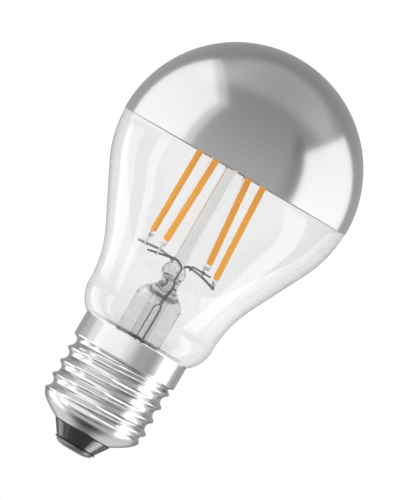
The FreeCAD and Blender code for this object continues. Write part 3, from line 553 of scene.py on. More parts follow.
@dataclass(frozen=True)
class RolledMetal:
    """Metal rolled into a thread: fine lines round the lamp axis, slow dents, and dark broken
    lines painted along the crests and the roots as reflection and shade.

    Attributes:
        name: the material's name.
        bright: colour where it is cleanest.
        dull: colour where it is dullest.
        dark: colour of the painted lines of reflection and shade.
        smooth: lowest roughness.
        rough: highest roughness.
        pitch: the thread's pitch, in millimetres.
        datum: height from which the thread's turns are counted, in millimetres.
        phase: turns from the datum to a crest on +X.
        reach: lowest and highest height of the painted lines, in millimetres.
        jitter: how far the lines wander to each side, in turns.
        line_edges: distances from a crest or a root, in half turns, at which a line is gone and at
            which it is full.
        fade: how far past its reach a line fades out, in millimetres.
        dent_rise: rise of the dents in metres.
        drawn_share: share of that rise that the fine lines have.
    """

    name: str
    bright: tuple[float, float, float]
    dull: tuple[float, float, float]
    dark: tuple[float, float, float]
    smooth: float
    rough: float
    pitch: float
    datum: float
    phase: float
    reach: tuple[float, float]
    jitter: float = 0.03
    line_edges: tuple[float, float] = (0.12, 0.02)
    fade: float = 0.5
    dent_rise: float = 0.000009
    drawn_share: float = 0.02

    def material(self) -> bpy.types.Material:
        """Makes the material."""
        material, sheet = sheet_for(self.name)
        patches = sheet.noise(160.0, 4.0)
        x, y, z = sheet.add("SeparateXYZ", {0: sheet.place()}).outputs
        height = sheet.math("MULTIPLY", z, 1 / MM)
        turns = sheet.math("DIVIDE", sheet.math("SUBTRACT", height, self.datum), self.pitch)
        turns = sheet.math("SUBTRACT", turns, sheet.math("MULTIPLY", sheet.math("ARCTAN2", y, x), 1 / TURN))
        wander = sheet.between(sheet.noise(70.0, 2.0), -self.phase - self.jitter, -self.phase + self.jitter)
        turns = sheet.math("ADD", turns, wander)
        # Painted reflection and shade: dark broken lines along the crests and the roots.
        off = sheet.math("PINGPONG", sheet.math("MULTIPLY", turns, 2.0), 0.5)
        line = sheet.step(off, *self.line_edges)
        broken = sheet.step(sheet.noise(1.0, 3.0, (110.0, 110.0, 420.0)), 0.42, 0.62)
        line = sheet.math("MULTIPLY", line, broken)
        line = sheet.math("MULTIPLY", line, sheet.step(height, self.reach[0] - self.fade, self.reach[0]))
        line = sheet.math("MULTIPLY", line, sheet.step(height, self.reach[1] + self.fade, self.reach[1]))
        metal = sheet.blend(patches, self.bright, self.dull)
        mixed = sheet.add("Mix", data_type="RGBA")
        for socket, value in ((0, line), (6, metal), (7, (*self.dark, 1))):
            sheet.feed(mixed.inputs[socket], value)
        drawn = sheet.noise(1.0, 2.0, (60.0, 60.0, 4200.0))
        dents = sheet.noise(1.0, 1.0, (90.0, 90.0, 300.0))
        relief = sheet.math("ADD", sheet.math("MULTIPLY", drawn, self.drawn_share), dents)
        sheet.surface({
            "Base Color": mixed.outputs[2],
            "Metallic": 1.0,
            "Roughness": sheet.between(patches, self.smooth, self.rough),
            "Normal": sheet.bump(relief, self.dent_rise),
        })
        return material


@dataclass(frozen=True)
class BlackGlass:
    """Black moulded glass: glossy, with slow ripples from the mould."""

    name: str

    def material(self) -> bpy.types.Material:
        """Makes the material."""
        material, sheet = sheet_for(self.name)
        ripples = sheet.noise(420.0, 2.0)
        sheet.surface({
            "Base Color": sheet.blend(sheet.noise(900.0), (0.006, 0.006, 0.008), (0.016, 0.015, 0.016)),
            "Roughness": sheet.between(ripples, 0.07, 0.16),
            "IOR": 1.58,
            "Coat Weight": 0.3,
            "Coat Roughness": 0.05,
            "Normal": sheet.bump(ripples, 0.00006),
        })
        return material


@dataclass(frozen=True)
class AmberSilicone:
    """Silicone full of phosphor, which gives back part of the blue light as amber: light goes a
    little way in, and the skin has a fine grain."""

    name: str
    # Painted light: colour of a fixed glow that brightens the coat.
    glow: tuple[float, float, float] = (1.0, 0.42, 0.015)
    deep: tuple[float, float, float] = (0.97, 0.34, 0.006)
    pale: tuple[float, float, float] = (1.0, 0.50, 0.03)

    def material(self) -> bpy.types.Material:
        """Makes the material."""
        material, sheet = sheet_for(self.name)
        streaks = sheet.noise(1.0, 3.0, (900.0, 900.0, 260.0))
        grain = sheet.noise(6500.0, 2.0)
        sheet.surface({
            "Base Color": sheet.blend(streaks, self.deep, self.pale),
            "Roughness": sheet.between(grain, 0.34, 0.52),
            "Subsurface Weight": 0.2,
            "Subsurface Radius": (0.0009, 0.00045, 0.0001),
            "Subsurface Scale": 1.0,
            "Specular IOR Level": 0.2,
            # Painted light: the emission is a glow that the coat gives by itself, whatever light falls on it.
            "Emission Color": (*self.glow, 1),
            "Emission Strength": 0.39,
            "Normal": sheet.bump(grain, 0.000012),
        })
        return material


@dataclass(frozen=True)
class Speckled:
    """A solid finish for a driver part: two close colours, a fine grain and one gloss.

    Attributes:
        name: the material's name.
        first: one colour.
        second: the other.
        roughness: how dull it is.
        metallic: 1 for metal.
        grain: how many grains there are to a metre.
        glow: strength of a painted glow, an emission that stands in for the light that the glass would pass
            on to it.
    """

    name: str
    first: tuple[float, float, float]
    second: tuple[float, float, float]
    roughness: float
    metallic: float = 0.0
    grain: float = 2600.0
    glow: float = 0.0

    def material(self) -> bpy.types.Material:
        """Makes the material."""
        material, sheet = sheet_for(self.name)
        grain = sheet.noise(self.grain, 3.0)
        sheet.surface({
            "Base Color": sheet.blend(grain, self.first, self.second),
            # Painted light: where glow is above 0 the finish glows by itself, as the cement does.
            "Emission Color": (*self.second, 1),
            "Emission Strength": self.glow,
            "Metallic": self.metallic,
            "Roughness": sheet.between(grain, self.roughness * 0.85, min(1.0, self.roughness * 1.15)),
            "Normal": sheet.bump(grain, 0.000008),
        })
        return material


class Finish(Enum):
    """The lamp's finishes, each with the material slot of the record that it dresses."""

    # The bulb's lower part is darkened by painted shade.
    BULB_GLASS = ("bulb_glass", ClearGlass("bulb_glass", low_share=0.95))
    STEM_GLASS = ("stem_glass", ClearGlass(
        "stem_glass", through=1.0, tint=(0.32, 0.34, 0.35), density=100.0, waves=320.0,
        wave_rise=0.00006, wrinkled=(0.0435, 0.0500)))
    SILVER_COAT = ("silver_coat", SatinMirror("silver_coat"))
    NICKEL = ("nickel_wire", DrawnMetal(
        "nickel_wire", (0.28, 0.275, 0.26), (0.15, 0.15, 0.145), 0.22, 0.4, (900.0, 900.0, 900.0)))
    SEAL = ("seal_wire", DrawnMetal(
        "seal_wire", (0.16, 0.11, 0.09), (0.10, 0.07, 0.06), 0.3, 0.5, (900.0, 900.0, 900.0)))
    COPPER = ("copper_wire", DrawnMetal(
        "copper_wire", (0.22, 0.15, 0.12), (0.13, 0.09, 0.07), 0.25, 0.4, (900.0, 900.0, 900.0)))
    STRIP = ("strip_substrate", ClearGlass(
        "strip_substrate", through=0.98, tint=(0.55, 0.57, 0.54), density=120.0, waves=900.0, index=1.7))
    CHIP = ("led_chip", Speckled("led_chip", (0.48, 0.55, 0.68), (0.60, 0.66, 0.76), 0.2))
    AMBER = ("amber_coat", AmberSilicone("amber_coat"))
    CLIP = ("clip_metal", DrawnMetal(
        "clip_metal", (0.80, 0.79, 0.76), (0.62, 0.61, 0.59), 0.2, 0.4, (700.0, 700.0, 3000.0)))
    CAP_METAL = ("cap_metal", RolledMetal(
        "cap_metal", (0.78, 0.78, 0.79), (0.68, 0.68, 0.69), (0.13, 0.13, 0.135), 0.16, 0.24,
        3.629, 9.5, 0.54, (8.4, 24.2)))
    BLACK_GLASS = ("black_glass", BlackGlass("black_glass"))
    # Painted shade: the silver nickel contact is given a dark grey colour for the dark reflection it shows
    # from the side.
    CONTACT = ("contact_metal", DrawnMetal(
        "contact_metal", (0.29, 0.28, 0.26), (0.19, 0.185, 0.175), 0.28, 0.45, (800.0, 800.0, 800.0)))
    # Painted light: the cement's glow stands in for light that doesn't reach it.
    CEMENT = ("cement", Speckled("cement", (0.74, 0.72, 0.68), (0.82, 0.80, 0.76), 0.9, glow=1.6))
    BOARD = ("board_laminate", Speckled("board_laminate", (0.62, 0.62, 0.57), (0.68, 0.68, 0.63), 0.4))
    CAN = ("can_metal", Speckled("can_metal", (0.62, 0.62, 0.64), (0.54, 0.54, 0.56), 0.25, 1.0))
    TINNED = ("tinned_wire", Speckled("tinned_wire", (0.70, 0.70, 0.68), (0.56, 0.56, 0.54), 0.3, 1.0))
    FERRITE = ("ferrite", Speckled("ferrite", (0.020, 0.020, 0.022), (0.035, 0.035, 0.037), 0.7))
    ENAMEL = ("enamelled_copper", Speckled(
        "enamelled_copper", (0.50, 0.16, 0.05), (0.38, 0.11, 0.04), 0.25, 1.0))
    RESISTOR = ("resistor_body", Speckled("resistor_body", (0.10, 0.22, 0.16), (0.14, 0.28, 0.21), 0.6))
    PACKAGE = ("package_plastic", Speckled(
        "package_plastic", (0.008, 0.008, 0.009), (0.016, 0.016, 0.017), 0.55))


class Dresser:
    """Makes each finish's material once, and puts it on pieces and on the model's own nodes."""

    def __init__(self) -> None:
        """Starts with no material made."""
        self.made: dict[Finish, bpy.types.Material] = {}

    def material(self, finish: Finish) -> bpy.types.Material:
        """The finish's material, made the first time it is asked for."""
        if finish not in self.made:
            self.made[finish] = finish.value[1].material()
        return self.made[finish]

    def piece(self, piece: bpy.types.Object, finish: Finish, *nodes: str) -> bpy.types.Object:
        """Dresses a new piece, which stands for nodes of the model, and fixes it to the body.

        Args:
            piece: the new object.
            finish: its finish.
            nodes: the nodes it stands for.

        Returns:
            The piece.
        """
        piece.data.materials.append(self.material(finish))
        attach(piece, ROOT_BODY)
        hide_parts(*nodes)
        log.info("made %s with %d faces", piece.name, len(piece.data.polygons))
        return piece

    def node(self, name: str, finish: Finish) -> None:
        """Puts a finish on a node that stays as it is."""
        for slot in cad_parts[name].material_slots:
            slot.material = self.material(finish)
        log.info("dressed %s", name)


# Glass bulb and mirrored crown
@dataclass
class Bulb:
    """The blown bulb and the mirrored coat on its crown, in millimetres.

    The heights follow from the model: the crown's box gives the globe, and the tangent arcs run
    down from it to the neck.
    """

    coat: float = 0.15
    coat_clearance: float = 0.02
    wall: float = 0.6
    flank_angle: float = 26.9
    throat_radius: float = 28.6
    waist_radius: float = 16.75
    shoulder_radius: float = 8.45
    neck_radius: float = 11.4
    neck_fillet: float = 2.0
    columns: int = 160
    crown_low: Vector = field(default_factory=lambda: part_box("mirror_crown")[0] / MM)
    crown_high: Vector = field(default_factory=lambda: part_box("mirror_crown")[1] / MM)
    neck_end: float = field(default_factory=lambda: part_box("glass_envelope")[0].z / MM)

    def __post_init__(self) -> None:
        """Works out the arcs' centres and ends."""
        self.crown_radius = (self.crown_high.x - self.crown_low.x) / 2
        self.globe_radius = self.crown_radius - self.coat
        self.globe_z = self.crown_high.z - self.crown_radius
        self.flank = math.radians(self.flank_angle)
        self.head = np.array([
            self.globe_radius * math.cos(self.flank),
            self.globe_z - self.globe_radius * math.sin(self.flank),
        ])
        foot_radius = self.waist_radius + self.throat_radius * (1 - math.cos(self.flank))
        rise = (self.head[0] - foot_radius) / math.tan(self.flank)
        self.foot = np.array([foot_radius, self.head[1] - rise])
        self.waist_z = self.foot[1] - self.throat_radius * math.sin(self.flank)
        self.shoulder_x = self.waist_radius - self.shoulder_radius
        self.fillet_x = self.neck_radius + self.neck_fillet
        reach = self.shoulder_radius + self.neck_fillet
        self.fillet_z = self.waist_z - math.sqrt(reach**2 - (self.fillet_x - self.shoulder_x)**2)
        self.fillet_turn = math.atan2(self.waist_z - self.fillet_z, self.shoulder_x - self.fillet_x)

    def outline(self, depth: float) -> np.ndarray:
        """The bulb's outline: neck line, fillet arc, shoulder arc, throat arc, flank line and globe
        arc, each tangent to the next, all moved square to themselves into the glass.

        Args:
            depth: how deep below the outer surface.
        """
        inward = depth * np.array([-math.cos(self.flank), math.sin(self.flank)])
        neck = self.neck_radius - depth
        return chain(
            run((neck, self.neck_end), (neck, self.fillet_z), 12),
            arc((self.fillet_x, self.fillet_z), self.neck_fillet + depth, math.pi, self.fillet_turn, 12),
            arc((self.shoulder_x, self.waist_z),
                self.shoulder_radius - depth, self.fillet_turn - math.pi, 0, 24),
            arc((self.waist_radius + self.throat_radius, self.waist_z),
                self.throat_radius + depth, math.pi, math.pi - self.flank, 24),
            run(self.foot + inward, self.head + inward, 16),
            arc((0, self.globe_z), self.globe_radius - depth, -self.flank, math.pi / 2, 72),
        )

    def envelope(self) -> Skin:
        """The glass: down the inside from the crown's pole, round the neck's end and up the outside."""
        inside = self.outline(self.wall)[::-1]
        return turned(np.concatenate([inside, self.outline(0.0)]), self.columns)

    def crown(self) -> Skin:
        """The coat: an inner and an outer arc from its rim to the pole, with a flat rim."""
        drop = self.globe_z - self.crown_low.z
        inside, outside = (
            arc((0, self.globe_z), radius, -math.asin(drop / radius), math.pi / 2, 90)
            for radius in (self.globe_radius + self.coat_clearance, self.crown_radius)
        )
        return turned(np.concatenate([inside[::-1], outside]), self.columns)

    def build(self, dresser: Dresser) -> None:
        """Makes and dresses the bulb and the crown."""
        glass = make_piece("glass_envelope_skin", [self.envelope()])
        dresser.piece(glass, Finish.BULB_GLASS, "glass_envelope")
        crown = make_piece("mirror_crown_skin", [self.crown()], 60.0)
        dresser.piece(crown, Finish.SILVER_COAT, "mirror_crown")


# Stem, post and exhaust tube
@dataclass
class Stem:
    """Flare tube, pinch, bead and post, which are one piece of fused glass, and the exhaust tube
    below them, in millimetres."""

    neck_radius: float = 11.4
    bulb_wall: float = 0.6
    flare_radius: float = 5.8
    flare_wall: float = 1.1
    pinch_height: float = 2.2
    pinch_half_x: float = 2.4
    pinch_half_y: float = 4.8
    shoulder_height: float = 4.1
    roof_height: float = 1.8
    roof_radius: float = 2.6
    bead_height: float = 3.3
    bead_x: float = -0.4
    bead_half_x: float = 3.0
    bead_half_y: float = 2.2
    exhaust_radius: float = 2.25
    exhaust_wall: float = 0.75
    exhaust_clearance: float = 0.01
    post_radius: float = 1.6
    post_foot_x: float = -0.55
    post_head_x: float = -1.05
    bulge_radius: float = 1.95
    bulge_reach: float = 2.1
    meniscus: float = 0.7
    bubble_seed: int = 11
    bubble_count: int = 44
    bubble_spread: float = 0.55
    bubble_heights: tuple[float, float] = (0.15, 0.8)
    bubble_radii: tuple[float, float] = (0.04, 0.15)
    bubble_stretch: float = 1.7
    columns: int = 72
    neck_end: float = field(default_factory=lambda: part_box("glass_envelope")[0].z / MM)
    bead_top: float = field(default_factory=lambda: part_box("stem_glass")[1].z / MM)
    exhaust_low: float = field(default_factory=lambda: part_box("exhaust_tube")[0].z / MM)
    exhaust_high: float = field(default_factory=lambda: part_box("exhaust_tube")[1].z / MM)
    post_low: float = field(default_factory=lambda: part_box("centre_post")[0].z / MM)
    post_high: float = field(default_factory=lambda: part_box("centre_post")[1].z / MM)

    def __post_init__(self) -> None:
        """Works out the heights."""
        self.pinch_top = self.bead_top - self.bead_height
        self.pinch_foot = self.pinch_top - self.pinch_height
        self.shoulder_foot = self.pinch_foot - self.shoulder_height
        self.roof = self.shoulder_foot + self.roof_height

    def round_rows(self) -> np.ndarray:
        """The stem's round stretch: from the exhaust tube's seat down the bore, round the lip and
        the trumpet, and up the outside, as rows of centre, two half-axes and height."""
        bore = self.flare_radius - self.flare_wall
        trumpet = self.neck_radius - self.bulb_wall - self.flare_radius
        centre = (self.neck_radius - self.bulb_wall, self.neck_end + trumpet)
        seat = self.exhaust_radius + self.exhaust_clearance
        profile = chain(
            run((0, self.exhaust_high), (seat, self.exhaust_high), 4),
            run((seat, self.exhaust_high), (seat, self.roof), 3),
            arc((self.roof_radius, self.shoulder_foot), self.roof_height, math.pi / 2, 0.5, 10),
            run((bore, self.shoulder_foot - 0.3), (bore, centre[1]), 24),
            arc(centre, trumpet + self.flare_wall, math.pi, 3 * math.pi / 2, 24),
            run((self.neck_radius, self.neck_end - self.flare_wall), (self.neck_radius, self.neck_end), 4),
            arc(centre, trumpet, 3 * math.pi / 2, math.pi, 24),
            run((self.flare_radius, centre[1]), (self.flare_radius, self.shoulder_foot - 0.4), 24),
        )
        radius, height = profile.T
        return np.stack([np.zeros_like(radius), radius, radius, height], axis=1)

    def shaped_rows(self) -> np.ndarray:
        """The shoulder, the pinch, the bead and the meniscus round the post's foot, as rows of
        centre, two half-axes and height on one smooth curve."""
        shoulder, bead = self.shoulder_height, self.bead_height
        bead_x, foot_x = self.bead_x, self.post_foot_x
        flare, half_x, half_y = self.flare_radius, self.pinch_half_x, self.pinch_half_y
        return eased(np.array([
            (0, flare, flare, self.shoulder_foot),
            (0, flare * 0.97, flare * 0.99, self.shoulder_foot + shoulder * 0.2),
            (0, flare * 0.78, flare * 0.95, self.shoulder_foot + shoulder * 0.55),
            (0, half_x * 1.2, half_y * 1.04, self.pinch_foot - shoulder * 0.1),
            (0, half_x, half_y, self.pinch_foot + self.pinch_height * 0.3),
            (0, half_x, half_y * 0.93, self.pinch_top - 0.45),
            (bead_x * 0.5, half_x * 1.02, half_y * 0.62, self.pinch_top),
            (bead_x, self.bead_half_x * 0.93, self.bead_half_y * 0.97, self.pinch_top + bead * 0.2),
            (bead_x, self.bead_half_x, self.bead_half_y, self.pinch_top + bead * 0.47),
            (bead_x, self.bead_half_x * 0.93, self.bead_half_y * 0.95, self.pinch_top + bead * 0.75),
            (bead_x, self.bead_half_x * 0.75, self.bead_half_y * 0.85, self.bead_top - 0.06),
            (foot_x, self.post_radius + 0.18, self.post_radius + 0.18, self.bead_top + self.meniscus * 0.4),
            (foot_x, self.post_radius, self.post_radius, self.bead_top + self.meniscus),
        ]), 7)

    def post_rows(self) -> np.ndarray:
        """The post on its leaning axis: a straight rod that swells to the head's ellipse."""
        head_z = self.post_high - self.bulge_reach
        foot_z = self.bead_top + self.meniscus
        height = np.concatenate([
            np.linspace(foot_z, head_z - self.bulge_reach, 60)[1:],
            head_z + self.bulge_reach * np.sin(np.linspace(-math.pi / 2, math.pi / 2, 48))[1:],
        ])
        above = np.clip((height - head_z) / self.bulge_reach, -1, 1)
        bulge = self.bulge_radius * np.sqrt(1 - above**2)
        radius = np.where(above < 0, np.maximum(bulge, self.post_radius), bulge)
        share = (height - self.post_low) / (head_z - self.post_low)
        centre = self.post_foot_x + share * (self.post_head_x - self.post_foot_x)
        return np.stack([centre, radius, radius, height], axis=1)

    def bubbles(self) -> list[Skin]:
        """The air bubbles in the bead: small ellipsoids turned inside out."""
        draw = np.random.default_rng(self.bubble_seed)
        share = draw.uniform(-self.bubble_spread, self.bubble_spread, (self.bubble_count, 2))
        height = draw.uniform(*self.bubble_heights, self.bubble_count)
        size = draw.uniform(*self.bubble_radii, self.bubble_count)
        skins = []
        for (x, y), z, radius in zip(share, height, size):
            level = self.pinch_top + z * self.bead_height
            centre = (self.bead_x + x * self.bead_half_x, y * self.bead_half_y, level)
            skins.append(ball(centre, (radius, radius, radius * self.bubble_stretch)).reversed())
        return skins

    def exhaust(self) -> Skin:
        """The exhaust tube: an open bore inside a tube whose lower end is a half ball."""
        bore = self.exhaust_radius - self.exhaust_wall
        straight = self.exhaust_low + self.exhaust_radius
        profile = chain(
            arc((0, straight), self.exhaust_radius, -math.pi / 2, 0, 16),
            run((self.exhaust_radius, straight), (self.exhaust_radius, self.exhaust_high), 24),
            run((self.exhaust_radius, self.exhaust_high), (bore, self.exhaust_high), 3),
            run((bore, self.exhaust_high), (bore, straight), 24),
            arc((0, straight), bore, 0, -math.pi / 2, 16),
        )
        return turned(profile, self.columns)

    def build(self, dresser: Dresser) -> None:
        """Makes and dresses the stem's glass."""
        rows = np.concatenate([self.round_rows(), self.shaped_rows(), self.post_rows()])
        stem = make_piece("stem_glass_skin", [ovals(*rows.T, self.columns), *self.bubbles()])
        dresser.piece(stem, Finish.STEM_GLASS, "stem_glass", "centre_post")
        exhaust = make_piece("exhaust_tube_skin", [self.exhaust()])
        dresser.piece(exhaust, Finish.STEM_GLASS, "exhaust_tube")


# Wires and filaments
def heading(degrees: float) -> Vector:
    """A level direction, as an angle from +X towards +Y."""
    angle = math.radians(degrees)
    return Vector((math.cos(angle), math.sin(angle), 0))


@dataclass(frozen=True)
class FilamentPlace:
    """Where a filament stands in the cage.

    Attributes:
        quarter: its quarter of the cage, counted from the right front.
        turns: how far its foot and its head are turned from there, in degrees.
        foot_rise: how much its foot stands above the cage's foot, in millimetres.
        body_rise: how much its body is moved up along it.
        arm_heading: heading of the wire that passes its foot, in degrees.
        arm_overhang: how far that wire goes on past the foot.
        on_upper_wire: whether its head is on the upper of the two head wires.
        downward: whether the current goes down it, so that it is mounted the other way up.
    """

    quarter: int
    turns: tuple[float, float]
    foot_rise: float
    body_rise: float
    arm_heading: float
    arm_overhang: float
    on_upper_wire: bool
    downward: bool


@dataclass
class Cage:
    """The wires that carry the filaments, and the filaments, in millimetres."""

    places: dict[str, FilamentPlace] = field(default_factory=lambda: {
        "filament_1": FilamentPlace(2, (0.0, 0.0), 0.3, 0.3, 149.0, 2.6, False, False),
        "filament_2": FilamentPlace(3, (-2.8, -3.2), -0.4, 0.6, 212.0, 2.6, True, False),
        "filament_3": FilamentPlace(1, (-2.2, 2.2), 0.9, -0.6, 40.0, 2.6, True, True),
        "filament_4": FilamentPlace(0, (0.0, 0.0), -1.0, -1.0, -31.0, 0.78, False, True),
    })
    foot_x: float = -0.2
    foot_radius: float = 10.9
    head_radius: float = 8.8
    foot_angle: float = -31.0
    head_angle: float = -22.2
    post_head_x: float = -1.05
    lower_leg: float = 2.9
    upper_leg: float = 2.7
    coat_length: float = 34.0
    coat_width: float = 1.5
    coat_thickness: float = 1.4
    coat_shift: float = 0.35
    coat_dome: float = 0.55
    coat_power: float = 3.0
    wave_rates: tuple[float, float, float] = (0.9, 2.3, 4.9)
    wave_in_width: float = 0.025
    wave_in_thickness: float = 0.03
    wave_lag: int = 9
    strip_width: float = 2.0
    strip_thickness: float = 0.4
    strip_overhang: float = 1.3
    strip_power: float = 9.0
    arm_run: float = 4.0
    arm_rise: float = 0.5
    fork: tuple[float, float] = (3.1, 2.4)
    fork_drop: float = 0.15
    lead_depth: float = 2.9
    lead_x: float = 0.75
    knee_drop: float = 0.5
    lead_radius: float = 0.3
    lead_bend: float = 1.0
    jumper_radius: float = 0.25
    jumper_share: float = 0.6
    weld_clearance: float = 0.02
    weld_radius: float = 0.42
    head_weld_share: float = 0.9
    head_wire_radius: float = 0.25
    head_wire_step: float = 1.1
    head_wire_overhang: float = 1.2
    seal_radius: float = 0.22
    copper_radius: float = 0.25
    copper_x: tuple[float, float] = (1.15, -0.7)
    copper_swing: float = 1.6
    head_z: float = field(default_factory=lambda: sum(p.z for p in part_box("head_wire_lower")) / 2 / MM)
    seal_top: float = field(default_factory=lambda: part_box("seal_wire_left")[1].z / MM)

    def __post_init__(self) -> None:
        """Works out the height of the cage's foot."""
        self.foot_z = self.head_z - self.upper_leg - self.coat_length - self.lower_leg

    def foot(self, place: FilamentPlace) -> Vector:
        """Where a filament's leg crosses the wire below it."""
        out = heading(self.foot_angle + 90 * place.quarter + place.turns[0]) * self.foot_radius
        return out + Vector((self.foot_x, 0, self.foot_z + place.foot_rise))

    def head(self, place: FilamentPlace) -> Vector:
        """Where a filament's leg crosses the wire above it."""
        out = heading(self.head_angle + 90 * place.quarter + place.turns[1]) * self.head_radius
        return out + Vector((self.post_head_x, 0, self.head_z + self.head_wire_step * place.on_upper_wire))

    def arm(self, place: FilamentPlace) -> list[Vector]:
        """The last straight stretch of a wire, which passes a filament's foot."""
        foot = self.foot(place)
        bend = foot - heading(place.arm_heading) * self.arm_run
        bend.z = self.foot_z + self.arm_rise + place.foot_rise / 2
        return [bend, foot + (foot - bend).normalized() * place.arm_overhang]

    def lead_route(self, side: int, place: FilamentPlace) -> list[Vector]:
        """A nickel lead's corners: up from the seal, up to a crest, down to the fork, along an arm."""
        foot = Vector((self.lead_x, self.lead_depth * side, self.seal_top))
        knee = Vector((foot.x, foot.y, self.foot_z - self.knee_drop))
        crest_z = self.foot_z + self.arm_rise
        fork = Vector((side * self.fork[0], side * self.fork[1], crest_z - self.fork_drop))
        crest = (knee + fork) / 2
        crest.z = crest_z
        return [foot, knee, crest, fork, *self.arm(place)]

    def jumper_route(self, lead: list[Vector], place: FilamentPlace) -> list[Vector]:
        """A jumper's corners: from under a lead, and along an arm."""
        start = lead[2].lerp(lead[3], self.jumper_share)
        start.z -= self.lead_radius + self.jumper_radius + self.weld_clearance
        return [start, *self.arm(place)]

    def seal_route(self, label: str, side: int) -> np.ndarray:
        """A seal wire's middle line: upright from its lowest to its highest point."""
        low, high = (corner.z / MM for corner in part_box("seal_wire_" + label))
        return np.array([(self.lead_x, self.lead_depth * side, z) for z in np.linspace(low, high, 5)])

    def copper_route(self, label: str, side: int) -> np.ndarray:
        """A copper lead's middle line: down from the seal, aside, and down to below the board."""
        low, high = (corner.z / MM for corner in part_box("copper_lead_" + label))
        foot_x, y = self.copper_x[side > 0], self.lead_depth * side
        return bent_path([
            Vector((self.lead_x, y, high)),
            Vector((self.lead_x, y, high - self.copper_swing / 2)),
            Vector((foot_x, y, high - self.copper_swing * 1.5)),
            Vector((foot_x, y, low)),
        ], self.lead_bend)

    def build_wires(self, dresser: Dresser) -> None:
        """Makes and dresses every wire of the cage, with its welds."""
        for label, side, lead_place, jumper_place in (
            ("left", -1, self.places["filament_1"], self.places["filament_2"]),
            ("right", 1, self.places["filament_4"], self.places["filament_3"]),
        ):
            lead = self.lead_route(side, lead_place)
            jumper = self.jumper_route(lead, jumper_place)
            for name, route, radius, place in (
                ("nickel_lead_", lead, self.lead_radius, lead_place),
                ("jumper_", jumper, self.jumper_radius, jumper_place),
            ):
                weld = ball(self.foot(place), (self.weld_radius,) * 3)
                line = tube(bent_path(route, self.lead_bend), radius)
                wire = make_piece(name + label + "_skin", [line, weld])
                dresser.piece(wire, Finish.NICKEL, name + label)
            for name, finish, path, radius in (
                ("seal_wire_", Finish.SEAL, self.seal_route(label, side), self.seal_radius),
                ("copper_lead_", Finish.COPPER, self.copper_route(label, side), self.copper_radius),
            ):
                wire = make_piece(name + label + "_skin", [tube(path, radius)])
                dresser.piece(wire, finish, name + label)
        for name, upper in (("head_wire_lower", False), ("head_wire_upper", True)):
            first, last = (self.head(p) for p in self.places.values() if p.on_upper_wire == upper)
            over = (last - first).normalized() * self.head_wire_overhang
            welds = [ball(end, (self.weld_radius * self.head_weld_share,) * 3) for end in (first, last)]
            path = run(first - over, last + over, 9)
            wire = make_piece(name + "_skin", [tube(path, self.head_wire_radius), *welds])
            dresser.piece(wire, Finish.NICKEL, name)

    def coat(self, body: float, seed: int) -> Skin:
        """A filament's coat: a bar with rounded edges and domed ends, a little uneven along it."""
        end, length = self.coat_dome, self.coat_length
        dome = end * (1 - np.cos(np.linspace(0, math.pi / 2, 9)))
        level = np.concatenate([dome, np.linspace(end, length - end, 120)[1:-1], length - dome[::-1]])
        near = np.clip(np.minimum(level, length - level) / end, 0, 1)
        closing = np.sqrt(np.clip(1 - (1 - near) ** 2, 0, 1))
        draw = np.random.default_rng(seed)
        wave = sum(np.sin(level * rate + draw.uniform(0, TURN)) for rate in self.wave_rates)
        lagging = np.roll(wave, self.wave_lag)
        width = (self.coat_width + self.wave_in_width * wave) * closing
        thickness = (self.coat_thickness + self.wave_in_thickness * lagging) * closing
        return bar(width, thickness, body + level, self.coat_power)

    def build_filament(self, dresser: Dresser, name: str, place: FilamentPlace) -> None:
        """Makes and dresses a filament's coat and strip, and dresses its chips and clips."""
        foot, head = self.foot(place), self.head(place)
        along = head - foot
        across = heading((self.foot_angle + self.head_angle) / 2 + 90 * place.quarter).cross(along)
        stand = Place(foot, across, along)
        body = self.lower_leg + place.body_rise
        coat_skin = self.coat(body, place.quarter)
        coat_skin.points[..., 0] += self.coat_shift if place.downward else -self.coat_shift
        coat = make_piece(name + "_coat_skin", [stand.put(coat_skin)])
        dresser.piece(coat, Finish.AMBER, name + "_phosphor")
        level = body + np.repeat([-self.strip_overhang, self.coat_length + self.strip_overhang], 2)
        share = np.array([0, 1, 1, 0])
        strip = bar(self.strip_width * share, self.strip_thickness * share, level, self.strip_power)
        substrate = make_piece(name + "_strip_skin", [stand.put(strip)])
        dresser.piece(substrate, Finish.STRIP, name + "_substrate")
        dresser.node(name + "_chips", Finish.CHIP)
        dresser.node(name + "_lower_clip", Finish.CLIP)
        dresser.node(name + "_upper_clip", Finish.CLIP)

    def build(self, dresser: Dresser) -> None:
        """Makes the wires and the four filaments."""
        self.build_wires(dresser)
        for name, place in self.places.items():
            self.build_filament(dresser, name, place)


